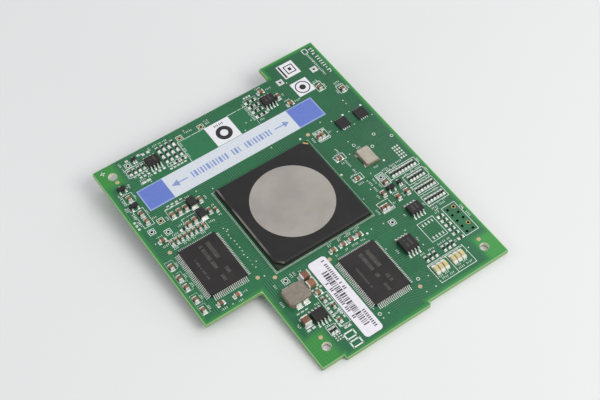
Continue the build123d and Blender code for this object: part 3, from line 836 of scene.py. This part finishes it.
# Bare pads: the middle of a row's first pad, how many pads, their pitch and their size
BARE_PADS = (
    ((30.7, -97.8), 3, (0.95, 0), (0.6, 0.5)), ((30.7, -98.7), 3, (0.95, 0), (0.6, 0.5)),
    ((30.7, -99.6), 3, (0.95, 0), (0.6, 0.5)), ((34.9, -84.3), 2, (0, -1.3), (0.6, 0.9)),
    ((37.3, -84.6), 3, (0, -1.4), (0.7, 1.0)), ((34.9, -88.6), 3, (0, -1.5), (0.9, 1.0)),
    ((37.5, -90.7), 3, (0, -1.5), (0.7, 1.0)), ((34.4, -93.6), 2, (0, -1.6), (0.7, 1.1)),
    ((35.4, -97.3), 2, (1.4, 0), (0.9, 0.7)), ((12.6, -13.1), 2, (1.9, 0), (1.5, 0.9)),
    ((12.9, -10.8), 3, (1.5, 0), (0.9, 0.8)), ((17.8, -11.8), 3, (1.8, 0), (1.0, 0.9)),
    ((23.3, -13.5), 5, (1.4, 0), (1.0, 0.7)), ((12.2, -2.0), 2, (4.6, 0), (1.1, 0.8)),
    ((11.3, -9.6), 4, (1.5, 0), (0.8, 0.5)), ((18.4, -2.7), 2, (1.9, 0), (1.0, 1.0)),
    ((25.4, -91.6), 2, (1.9, 0), (1.3, 0.8)), ((27.3, -83.9), 2, (2.6, 0), (2.0, 0.6)),
    ((71.9, -42.8), 2, (2.3, 0), (0.7, 1.6)), ((71.9, -53.1), 2, (2.3, 0), (0.7, 1.6)),
    ((72.0, -29.6), 3, (1.6, 0), (1.1, 0.6)), ((71.9, -32.9), 3, (1.6, 0), (1.1, 0.6)),
    ((71.9, -69.5), 3, (1.6, 0), (1.1, 0.6)), ((12.3, -31.9), 6, (2.1, 0), (1.2, 0.6)),
    ((13.0, -27.0), 5, (2.1, 0), (1.1, 0.6)), ((4.2, -27.6), 2, (1.9, 0), (1.0, 1.2)),
    ((66.9, -2.4), 1, (1, 0), (1.6, 1.1)), ((60.4, -12.6), 4, (0.9, 0), (0.6, 0.9)),
    ((60.6, -2.0), 3, (1.1, 0), (0.7, 0.8)), ((14.0, -26.1), 4, (1.7, 0), (1.0, 0.6)),
    ((1.5, -25.6), 3, (0, -1.5), (0.8, 0.9)), ((34.6, -80.6), 3, (1.5, 0), (1.0, 0.7)),
    ((26.0, -84.9), 3, (1.6, 0), (1.1, 0.5)), ((34.6, -85.9), 3, (1.4, 0), (0.9, 0.6)),
)
for (x, y), count, pitch, size in BARE_PADS:
    for i in range(count):
        middle = (x + i * pitch[0], y + i * pitch[1])
        low, high = around(middle, size[0] / 2, size[1] / 2)
        if is_free(low, high):
            pads.append(plate(middle, size))
            occupy(low, high, SMALL_CLEARANCE)

spread(flat_model("solder", PAD_HEIGHT, share=0.86), pads, "solder_pads")


def fillet_model():
    """A ramp of solder, 1 mm long, wide and high, that climbs towards -X."""
    ramp = block("ramp", "solder", (1, 1, 1), Vector((0.5, 0, 0.5)) * MM)
    pick_faces(ramp, faces_up)
    bpy.ops.transform.resize(value=(*RAMP_TOP, 1))
    bpy.ops.transform.translate(value=((RAMP_TOP[0] - 1) / 2 * MM, 0, 0))
    enter("OBJECT")
    return ramp


spread(fillet_model(), fillets, "solder_fillets")


# White ink on the board: the corners of printed boxes, by the width of their lines
HEADER_OUTLINE = ((88.0, -92.5), (93.4, -79.5))
SILK_WIDTH = 0.2
SILK_BOXES = (
    (SILK_WIDTH, (
        HEADER_OUTLINE, EMPTY_FOOTPRINT, ((70.2, -102.0), (84.6, -94.3)), ((81.6, -60.6), (93.8, -57.0)),
        ((85.3, -65.9), (93.8, -61.9)), ((85.3, -71.0), (93.8, -66.9)), ((85.3, -76.4), (93.8, -72.0)),
        ((71.3, -33.7), (75.9, -28.9)), ((71.3, -70.2), (75.9, -65.7)), ((70.9, -44.1), (74.9, -41.5)),
        ((70.9, -54.4), (74.9, -51.8)), ((78.0, -61.3), (81.0, -55.9)), ((84.4, -14.9), (87.3, -10.6)),
        ((90.4, -20.0), (93.3, -16.4)), ((9.7, -9.1), (17.0, -5.3)),
    )),
    (0.16, (
        ((12.2, -31.9), (20.1, -27.2)), ((14.8, -37.7), (20.1, -33.4)), ((3.2, -29.4), (6.9, -21.6)),
        ((3.2, -17.9), (6.9, -14.0)), ((34.3, -87.3), (38.1, -83.3)), ((34.3, -91.2), (38.1, -87.6)),
        ((34.2, -96.2), (38.1, -91.6)), ((30.1, -97.3), (33.2, -93.9)), ((6.9, -41.2), (20.9, -37.9)),
        ((22.9, -12.4), (30.3, -11.2)),
    )),
    (0.08, (
        ((1.2, -48.6), (4.0, -44.8)), ((1.2, -53.9), (4.0, -50.1)), ((1.2, -58.1), (4.0, -54.3)),
        ((1.2, -63.6), (4.0, -59.8)), ((1.2, -68.2), (4.0, -64.4)),
    )),
    (0.5, (((33.3, -101.2), (36.8, -99.0)), ((33.3, -104.5), (36.8, -102.3)))),
    (0.1, (((59.3, -12.3), (64.3, -3.0)),)),
    (0.3, (((90.2, 2.6), (92.0, 4.8)),)),
)
silk = []
for width, boxes in SILK_BOXES:
    for low, high in boxes:
        silk += outline(low, high, width)

# Single lines, by their two ends and their width: round the controller, in the empty box at the front,
# beside the first white field, and a small cross in the back left corner
SILK_LINES = (
    ((28.8, -30.1), (28.8, -68.75), 0.12), ((28.8, -68.75), (68.4, -68.75), 0.12),
    ((29.2, -30.1), (29.2, -68.35), 0.12), ((29.2, -68.35), (68.4, -68.35), 0.12),
    ((28.8, -30.1), (68.4, -30.1), 0.08), ((68.4, -30.1), (68.4, -68.75), 0.08),
    ((77.35, -102.0), (77.35, -94.9), SILK_WIDTH), ((70.2, -94.75), (84.6, -94.75), SILK_WIDTH),
    ((30.7, -15.0), (30.7, -5.2), SILK_WIDTH), ((30.7, -5.2), (41.5, -5.2), SILK_WIDTH),
    ((51.3, -5.2), (59.0, -5.2), SILK_WIDTH), ((59.0, -14.8), (59.0, -5.2), 0.1),
    ((2.8, -2.9), (2.8, -1.3), 0.28), ((2.0, -2.1), (3.6, -2.1), 0.28),
)
silk += [line(*row) for row in SILK_LINES]
TEST_HOLES = (
    (11.7, -4.0), (32.4, -4.0), (41.1, -4.0), (9.0, -29.8), (4.3, -31.9), (8.8, -34.9), (29.6, -72.7),
    (71.4, -74.4), (79.4, -57.6),
)
TEST_BOX_REACH = 1.1
for place in TEST_HOLES:
    silk += outline(*around(place, TEST_BOX_REACH, TEST_BOX_REACH), SILK_WIDTH)
    occupy(*around(place, TEST_CLEARANCE, TEST_CLEARANCE))

# White fields, and the plain shapes in them
WHITE_FIELDS = (((41.5, -14.9), (51.3, -5.3)), ((77.9, -3.3), (84.6, 3.4)), ((77.4, -13.0), (84.2, -6.2)))
fields = []
for low, high in WHITE_FIELDS:
    fields.append(filling(low, high))
    occupy(low, high)
spread(flat_model("label_white", INK_HEIGHT, share=0.995), fields, "white_print_fields")
FIELD_BAR = ((78.75, -2.5), (78.75, 2.8), 0.7)
FIELD_BLOCK = ((81.85, 0.1), (1.2, 1.4))
FIELD_BOX = ((80.2, -1.7), (83.5, 1.9), 0.4)
# A row of upright strokes: their places along the width, and their heights
FIELD_STROKES = ((45.0, 0.9), (45.6, 0.6), (46.2, 0.9), (47.0, 0.9), (47.6, 0.6), (48.2, 0.9))
FIELD_STROKE_ROW = -6.7
FIELD_STROKE_WIDTH = 0.3
field_marks = [line(*FIELD_BAR), plate(*FIELD_BLOCK), *outline(*FIELD_BOX)]
for x, height in FIELD_STROKES:
    field_marks.append(plate((x, FIELD_STROKE_ROW), (FIELD_STROKE_WIDTH, height)))
field_marks = lifted(field_marks, INK_HEIGHT)
spread(flat_model("dark_ink", PRINT_HEIGHT), field_marks, "white_field_marks")

LABEL_CLEARANCE = 0.4
for node_name in ("press_label", "serial_label"):
    occupy(*board_rectangle(*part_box(node_name)), LABEL_CLEARANCE)
SCREW_ZONES = (((86.5, -105), (96, -93.5)), ((20, -105), (29.6, -93)), ((-1, -10), (8.6, 1)))
for zone in (*SCREW_ZONES, HEADER_OUTLINE):
    occupy(*zone)


# Rows of plain strokes, like the reference marks beside a part
STROKE_WIDTH = 0.18
STROKE_TALL = 0.75
STROKE_SHORT = 0.4
STROKE_PITCH = 0.62
FOOT_REACH = 0.29
TALL_ODDS = 0.75
FOOT_ODDS = 0.6


def strokes(x, y, count, upright, scale=1.0):
    """Places for a short row of plain strokes, some of them short and some with a foot."""
    marks = []
    wide, short, reach = STROKE_WIDTH * scale, STROKE_SHORT * scale, FOOT_REACH * scale
    for i in range(count):
        step = (i - (count - 1) / 2) * STROKE_PITCH * scale
        point = (x, y + step) if upright else (x + step, y)
        tall = STROKE_TALL * scale if random.random() < TALL_ODDS else short
        size = (tall, wide) if upright else (wide, tall)
        marks.append(plate(point, size))
        if random.random() < FOOT_ODDS:
            foot = reach if random.random() < 0.5 else -reach
            shift = (foot, 0) if upright else (0, foot)
            cross = (wide, short) if upright else (short, wide)
            marks.append(plate((point[0] + shift[0], point[1] + shift[1]), cross))
    return marks


MARK_COUNTS = (2, 3, 3, 4)
MARK_GAP = 1.0
MARK_END_GAP = 0.8
MARK_DEPTH = 0.85
ROW_SPARE = 0.1
MARKS_PER_PART = 2
PART_MARGIN = 0.5


def mark_beside(low, high):
    """Prints a reference mark at the first free spots round a part, if there are any."""
    x, y = (low[0] + high[0]) / 2, (low[1] + high[1]) / 2
    count = random.choice(MARK_COUNTS)
    long = count * STROKE_PITCH + ROW_SPARE
    placed = 0
    spots = [
        (x, high[1] + MARK_GAP, False),
        (x, low[1] - MARK_GAP, False),
        (high[0] + MARK_GAP, y, True),
        (low[0] - MARK_GAP, y, True),
        (high[0] + MARK_END_GAP + long / 2, y, False),
        (low[0] - MARK_END_GAP - long / 2, y, False),
    ]
    for x, y, upright in spots:
        half_x, half_y = (MARK_DEPTH / 2, long / 2) if upright else (long / 2, MARK_DEPTH / 2)
        spot = around((x, y), half_x, half_y)
        if placed < MARKS_PER_PART and is_free(*spot):
            occupy(*spot, SMALL_CLEARANCE)
            silk.extend(strokes(x, y, count, upright))
            placed += 1


MARKED_ENDINGS = ("resistors", "capacitors", "_left", "_right")
OTHER_MARKED = [
    "transistors", "identity_chip", "regulator_chip", "flash_chip", "oscillator_base", "inductor_core",
]
marked_nodes = [name for name in frame["nodes"] if name.endswith(MARKED_ENDINGS) and name not in NOT_ON_TOP]
marked_nodes += OTHER_MARKED
for node_name in marked_nodes:
    for low, high in solids_of(node_name):
        (left, front), (right, back) = board_rectangle(low, high)
        mark_beside((left - PART_MARGIN, front - PART_MARGIN), (right + PART_MARGIN, back + PART_MARGIN))

# Longer rows of marks: the middle's place, how many strokes, and whether the row runs along the depth
MARK_ROWS = (
    (36.4, -3.0, 5, False), (43.9, -2.6, 3, False), (43.9, -3.8, 3, False), (73.8, -40.0, 4, True),
    (73.8, -46.5, 6, True), (73.8, -50.2, 3, True), (75.0, -57.6, 4, True), (75.0, -60.6, 4, True),
    (76.7, -57.6, 4, True), (82.6, -55.6, 4, False), (85.6, -55.6, 4, False), (88.4, -55.6, 4, False),
    (91.9, -14.9, 4, False), (91.9, -16.0, 4, False), (85.9, -9.9, 3, False), (86.6, -11.0, 3, True),
    (72.4, -100.9, 4, False), (75.2, -100.9, 3, False), (79.2, -100.9, 4, False), (82.4, -100.9, 4, False),
    (71.6, -99.7, 3, False), (74.0, -99.7, 3, False), (79.0, -99.7, 3, False), (81.6, -99.7, 3, False),
    (2.6, -13.9, 4, True), (2.6, -16.8, 4, True), (2.6, -20.2, 4, True), (2.6, -23.4, 4, True),
    (2.6, -26.6, 3, True), (9.4, -2.4, 3, True), (9.4, -5.0, 4, True), (9.4, -8.0, 4, True),
    (35.6, -85.9, 3, False), (35.6, -87.3, 3, False), (37.0, -91.5, 3, True), (36.0, -96.9, 3, True),
    (37.2, -96.9, 3, True), (17.2, -2.2, 3, False), (21.2, -2.0, 3, True), (12.8, -11.9, 4, False),
    (15.8, -11.9, 3, False), (12.8, -13.3, 5, False), (49.2, -69.4, 3, False), (53.2, -69.4, 3, False),
    (56.8, -69.4, 3, False), (60.4, -69.4, 3, False), (25.6, -72.6, 3, True), (32.2, -72.0, 3, True),
    (33.4, -72.0, 3, True), (86.6, -77.7, 4, False), (89.8, -77.7, 4, False), (86.6, -78.8, 3, False),
    (94.2, -82.5, 3, True), (94.2, -86.0, 4, True),
)
for x, y, count, upright in MARK_ROWS:
    silk += strokes(x, y, count, upright)
# Rows of larger strokes where the tab carries print: the middle's place, how many, and their scale
TAB_ROWS = ((93.4, 2.4, 3, 2.0), (93.4, -5.0, 8, 2.0), (91.0, -3.7, 17, 1.15))
for x, y, count, scale in TAB_ROWS:
    silk += strokes(x, y, count, True, scale)
spread(flat_model("silk_ink", INK_HEIGHT, share=0.94), silk, "silkscreen_lines")


# Round marks: printed dots and rings, copper targets, the rims of holes, painted shadows in the test
# squares' holes, and vias
def disc_model(finish, radius, height, sides):
    """A low disc that narrows towards its top."""
    clear_selection()
    bpy.ops.mesh.primitive_cylinder_add(
        vertices=sides, radius=radius * MM, depth=height * MM, location=(0, 0, height / 2 * MM)
    )
    return pull_top(settle("disc", finish), share=0.9)


def ring_model(finish, radius, hole, height, sides):
    """A flat ring with a true hole."""
    clear_selection()
    bpy.ops.mesh.primitive_circle_add(vertices=sides, radius=radius * MM, fill_type="NGON")
    piece = settle("ring", finish)
    pick_faces(piece, lambda face: True)
    bpy.ops.mesh.inset(thickness=(radius - hole) * MM)
    bpy.ops.mesh.delete(type="FACE")
    enter("OBJECT")
    thicken = piece.modifiers.new("thickness", "SOLIDIFY")
    thicken.thickness, thicken.offset = height * MM, 1
    bpy.ops.object.modifier_apply(modifier="thickness")
    return piece


WHITE_DOTS = ((84.7, -52.4), (69.1, -49.0), (66.5, -28.4), (84.9, -28.2), (92.7, -28.2), (62.0, -73.1))
WHITE_RINGS = (
    (80.1, -41.3), (88.7, -41.3), (85.1, -45.3), (93.4, -45.4), (47.0, -99.6), (64.8, -96.4), (93.8, -83.0),
)
COPPER_TARGETS = (
    (5.0, -42.1), (23.0, -66.4), (27.6, -69.5), (63.6, -99.0), (45.9, -74.1), (69.8, -28.4),
    (5.2, -7.9), (26.9, -95.6), (90.5, -95.9),
)
HEADER_PITCH = 2.54
HEADER_MIDDLE = (90.63, -86.23)
HEADER = [
    (HEADER_MIDDLE[0] + (i - 0.5) * HEADER_PITCH, HEADER_MIDDLE[1] + (j - 2) * HEADER_PITCH)
    for i in range(2)
    for j in range(5)
]
GOLD_HOLES = (HEADER[6], HEADER[9])
COPPER_TEST_HOLES = TEST_HOLES[1:4]
TINNED_TEST_HOLES = TEST_HOLES[:1] + TEST_HOLES[4:]
BOLD_RING_PLACE = [(46.5, -10.8)]
FINE_RING_PLACE = [(80.8, -9.6)]
# Piece, finish, radius, radius of its hole or 0 for a disc, height, sides, places, level and slot
ROUND_MARKS = (
    ("silkscreen_dots", "silk_ink", 0.42, 0, INK_HEIGHT, 20, WHITE_DOTS, 0.0, "white_label"),
    ("silkscreen_rings", "silk_ink", 0.62, 0.42, INK_HEIGHT, 20, WHITE_RINGS, 0.0, "white_label"),
    ("copper_targets", "copper", 0.72, 0, 0.05, 28, COPPER_TARGETS, 0.0, "gold_plate"),
    ("header_rims", "solder_mask", 0.8, 0.5, 0.05, 24, HEADER, 0.0, "solder_mask"),
    ("header_gold_rims", "gold_mark", 0.72, 0.52, 0.07, 24, GOLD_HOLES, 0.0, "gold_plate"),
    ("test_hole_copper_rims", "copper", 0.82, 0.5, 0.05, 20, COPPER_TEST_HOLES, 0.0, "gold_plate"),
    ("test_hole_rims", "solder", 0.82, 0.5, 0.05, 20, TINNED_TEST_HOLES, 0.0, "solder"),
    # Dark discs on the tinned test squares: painted shade where their holes are
    ("test_square_holes", "hole_shadow", 0.45, 0, 0.02, 20, TEST_SQUARES, PAD_HEIGHT, "solder_mask"),
    ("bold_field_ring", "dark_ink", 3.0, 1.45, PRINT_HEIGHT, 40, BOLD_RING_PLACE, INK_HEIGHT, "white_label"),
    ("fine_field_ring", "dark_ink", 2.8, 2.4, PRINT_HEIGHT, 40, FINE_RING_PLACE, INK_HEIGHT, "white_label"),
    ("field_dot", "dark_ink", 1.2, 0, PRINT_HEIGHT, 24, FINE_RING_PLACE, INK_HEIGHT, "white_label"),
)


def round_marks(name, finish, radius, hole, height, sides, points, level, slot):
    """One piece of equal discs or rings at some points on the board."""
    if hole:
        model = ring_model(finish, radius, hole, height, sides)
    else:
        model = disc_model(finish, radius, height, sides)
    spread(model, [(at(x, y, level), 0.0, (1, 1, 1)) for x, y in points], name)


for row in ROUND_MARKS:
    round_marks(*row)

# Vias: a column and a few more at set places, the rest scattered where the board is free
VIA_REACH = 0.3
VIA_LOW, VIA_HIGH = (1.5, -103), (94, -1)
TINNED_VIAS = 62
TENTED_VIAS = 260
ZONE_LEFT, ZONE_RIGHT, ZONE_BACK = 28, 69, -29.5
VIA_COLUMN = (24.5, -44.2)
VIA_COLUMN_COUNT = 13
VIA_COLUMN_PITCH = 1.55
VIA_COLUMN_DRIFT = 0.3
SET_VIAS = (
    (76.5, -26.4), (80.0, -28.3), (81.9, -33.9), (87.6, -28.3), (85.8, -33.9), (93.5, -34.0), (79.0, -33.2),
)


def scatter(points, count, front, clearance):
    """Adds random free points, none of them in the controller's zone, until there are so many."""
    while len(points) < count:
        x, y = random.uniform(VIA_LOW[0], VIA_HIGH[0]), random.uniform(VIA_LOW[1], VIA_HIGH[1])
        spot = around((x, y), VIA_REACH, VIA_REACH)
        outside = not ZONE_LEFT < x < ZONE_RIGHT or not front < y < ZONE_BACK
        if is_free(*spot) and outside:
            occupy(*spot, clearance)
            points.append((x, y))
    return points


bright = []
for i in range(VIA_COLUMN_COUNT):
    drift = random.uniform(-VIA_COLUMN_DRIFT, VIA_COLUMN_DRIFT)
    bright.append((VIA_COLUMN[0] + drift, VIA_COLUMN[1] - VIA_COLUMN_PITCH * i))
bright += SET_VIAS
bright = scatter(bright, TINNED_VIAS, front=-69.5, clearance=0.5)
round_marks("tinned_vias", "solder", 0.26, 0, 0.04, 10, bright, 0.0, "solder")
tented = scatter([], TENTED_VIAS, front=-69, clearance=0.2)
round_marks("tented_vias", "solder_mask", VIA_REACH, 0.13, 0.04, 10, tented, 0.0, "solder_mask")


# Print on the labels
press_low, press_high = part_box("press_label")
label_level = board_level(press_high.z)
label_y = ((press_low.y + press_high.y) / 2 - corner.y) / MM

# The tip's place along the label, the head's turn, and how much it is stretched lengthwise
ARROW_TIPS = ((19.4, math.pi, 1.9), (67.6, 0.0, 1.5))
HEAD_WIDTH_STRETCH = 1.6
ARROW_SHAFTS = ((22.0, 25.6), (61.8, 65.6))
SHAFT_WIDTH = 0.45
BAR_RUNS = ((27.6, 41.6), (44.0, 47.0), (49.4, 60.0))
BAR_WIDTHS = (0.5, 0.9, 0.4, 0.7)
BAR_GAP = 0.62
BAR_HEIGHT = 2.6


def arrow_head_model():
    """A flat triangular plate that points along +X, with its tip at the origin."""
    clear_selection()
    bpy.ops.mesh.primitive_cylinder_add(
        vertices=3, radius=MM, depth=PRINT_HEIGHT * MM, rotation=(0, 0, -math.pi / 2)
    )
    piece = settle("head", "blue_ink")
    enter("EDIT")
    bpy.ops.mesh.select_all(action="SELECT")
    bpy.ops.transform.translate(value=(-MM, 0, PRINT_HEIGHT / 2 * MM))
    enter("OBJECT")
    return pull_top(piece, share=0.92)


heads = []
for x, turn, stretch in ARROW_TIPS:
    heads.append((at(x, label_y, label_level), turn, (stretch, HEAD_WIDTH_STRETCH, 1)))
spread(arrow_head_model(), heads, "press_label_arrow_heads")
blue = [line((first, label_y), (last, label_y), SHAFT_WIDTH) for first, last in ARROW_SHAFTS]
for first, last in BAR_RUNS:
    x, i = first, 0
    while x < last:
        width = BAR_WIDTHS[i % len(BAR_WIDTHS)]
        blue.append(plate((x + width / 2, label_y), (width, BAR_HEIGHT)))
        x += width + BAR_GAP
        i += 1
spread(flat_model("blue_ink", PRINT_HEIGHT), lifted(blue, label_level), "press_label_print")

CODE_COLUMN = 41.6
CODE_WIDTH = 2.2
CODE_ENDS = (5.4, 3.6)
CODE_BARS = (0.22, 0.3, 0.45, 0.7)
CODE_GAPS = (0.25, 0.35, 0.5)
SERIAL_STROKE = (1.15, 0.42)
STROKE_ODDS = 0.85
# Columns of strokes: the column's place, its first stroke and its end, and the step between strokes
SERIAL_COLUMNS = ((39.8, -81.2, -97.6, 0.74), (43.6, -73.4, -86.2, 0.82), (43.6, -94.6, -102, 0.82))
serial_low, serial_high = board_rectangle(*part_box("serial_label"))
bars = []
y = serial_high[1] - CODE_ENDS[0]
while y > serial_low[1] + CODE_ENDS[1]:
    width = random.choice(CODE_BARS)
    bars.append(plate((CODE_COLUMN, y - width / 2), (CODE_WIDTH, width)))
    y -= width + random.choice(CODE_GAPS)
for x, y, last, step in SERIAL_COLUMNS:
    while y > last:
        if random.random() < STROKE_ODDS:
            bars.append(plate((x, y), SERIAL_STROKE))
        y -= step
spread(flat_model("grey_ink", PRINT_HEIGHT), lifted(bars, label_level), "serial_label_print")


# Marks on the chips: rows of plain strokes in a laser's grey
CHIP_STROKE_WIDTH = 0.22
CHIP_STROKE_PITCH = 0.52
# Each row's place as a share of the width, its first and last share of the depth, and its strokes' length
MEMORY_ROWS = (
    (0.69, 0.12, 0.48, 1.5), (0.69, 0.66, 0.80, 1.3), (0.50, 0.12, 0.62, 1.3), (0.50, 0.78, 0.92, 1.1),
    (0.2, 0.3, 0.72, 0.7),
)
SMALL_CHIP_ROWS = ((0.35, 0.25, 0.75, 0.7), (0.65, 0.25, 0.75, 0.7))
MARKED_CHIPS = (
    (("memory_chip_left", "memory_chip_right"), MEMORY_ROWS),
    (("identity_chip", "flash_chip", "power_chip_left", "power_chip_right"), SMALL_CHIP_ROWS),
)


def chip_marks(name, rows):
    """Places for the rows of strokes on a chip's top."""
    low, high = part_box(name)
    level = board_level(high.z)
    (left, front), (right, back) = board_rectangle(low, high)
    marks = []
    for share, first, last, width in rows:
        x = left + share * (right - left)
        y = back - first * (back - front)
        while y > back - last * (back - front):
            if random.random() < STROKE_ODDS:
                marks.append(plate((x, y), (width, CHIP_STROKE_WIDTH), level=level))
            y -= CHIP_STROKE_PITCH
    return marks


marks = []
for chips, rows in MARKED_CHIPS:
    for chip in chips:
        marks += chip_marks(chip, rows)
spread(flat_model("laser_mark", LASER_MARK_HEIGHT), marks, "chip_marks")

# The controller's first-pin mark at its back right corner
PIN_MARK_INSET = 0.75
PIN_MARK_SIZE = (1.9, 0.85)
PIN_MARK_TURN = math.radians(-45)
cap_right, cap_back = board_rectangle(*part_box("controller_cap"))[1]
pin_mark = (cap_right - PIN_MARK_INSET, cap_back - PIN_MARK_INSET)
substrate_top = board_level(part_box("controller_substrate")[1].z)
gold = [plate(pin_mark, PIN_MARK_SIZE, PIN_MARK_TURN, substrate_top)]
spread(flat_model("gold_mark", INK_HEIGHT), gold, "controller_corner_mark")


# Port lights: a domed clear lens between two white metallised ends
LENS_TOP_SHARE = 0.86
LENS_ROUNDING = 0.12
SHOE_LENGTH = 0.56
SHOE_INSET = 0.25
SHOE_ROUNDING = 0.08
SHOE_PROUD = (0.06, 0.05)
lens_low, lens_high = solids_of("led_lenses")[0]
lens_size = (lens_high - lens_low) / MM
lens = block("lens", "led_lens", lens_size, Vector((0, 0, lens_size.z / 2)) * MM)
lens = soften(pull_top(lens, LENS_TOP_SHARE), LENS_ROUNDING, segments=3)
lenses = [(foot_of(low, high), 0.0, (1, 1, 1)) for low, high in solids_of("led_lenses")]
piece = spread(lens, lenses, "led_lens_domes")
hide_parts("led_lenses")

base_low, base_high = solids_of("led_bases")[0]
base_size = (base_high - base_low) / MM
led_ends = []
for low, high in solids_of("led_bases"):
    for side in (-1, 1):
        shift = Vector((0, side * (base_size.y / 2 - SHOE_INSET) * MM, 0))
        led_ends.append((foot_of(low, high) + shift, 0.0, (1, 1, 1)))
shoe_size = (base_size.x + SHOE_PROUD[0], SHOE_LENGTH, base_size.z + SHOE_PROUD[1])
shoe = soften(block("shoe", "led_base", shoe_size, (0, 0, base_size.z / 2 * MM)), SHOE_ROUNDING)
spread(shoe, led_ends, "led_metal_ends")


# The floor: the card leans on its connector and its front edge
FLOOR_GAP = 0.02
FLOOR_SIZE = 6


def lean():
    """The slope of the card's resting plane, and the point where the connector touches it."""
    connector_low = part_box("connector_housing")[0]
    rise = board_low.z - connector_low.z
    run = connector_low.y - board_low.y
    return math.atan2(rise, run), (0, connector_low.y, connector_low.z - FLOOR_GAP * MM)


slope, touch = lean()
clear_selection()
bpy.ops.mesh.primitive_plane_add(size=FLOOR_SIZE, location=touch, rotation=(-slope, 0, 0))
floor = bpy.context.object
floor.name = "floor"
table = Finish("pale_table")
drift = table.noise(table.node("ShaderNodeTexCoord", {}, {}, "Object"), 3, 3)
table_top = table.blend(drift.ramp(), (234, 234, 234), (238, 238, 238))
table.set(Base_Color=table_top, Roughness=0.6)
floor.data.materials.append(table.material)
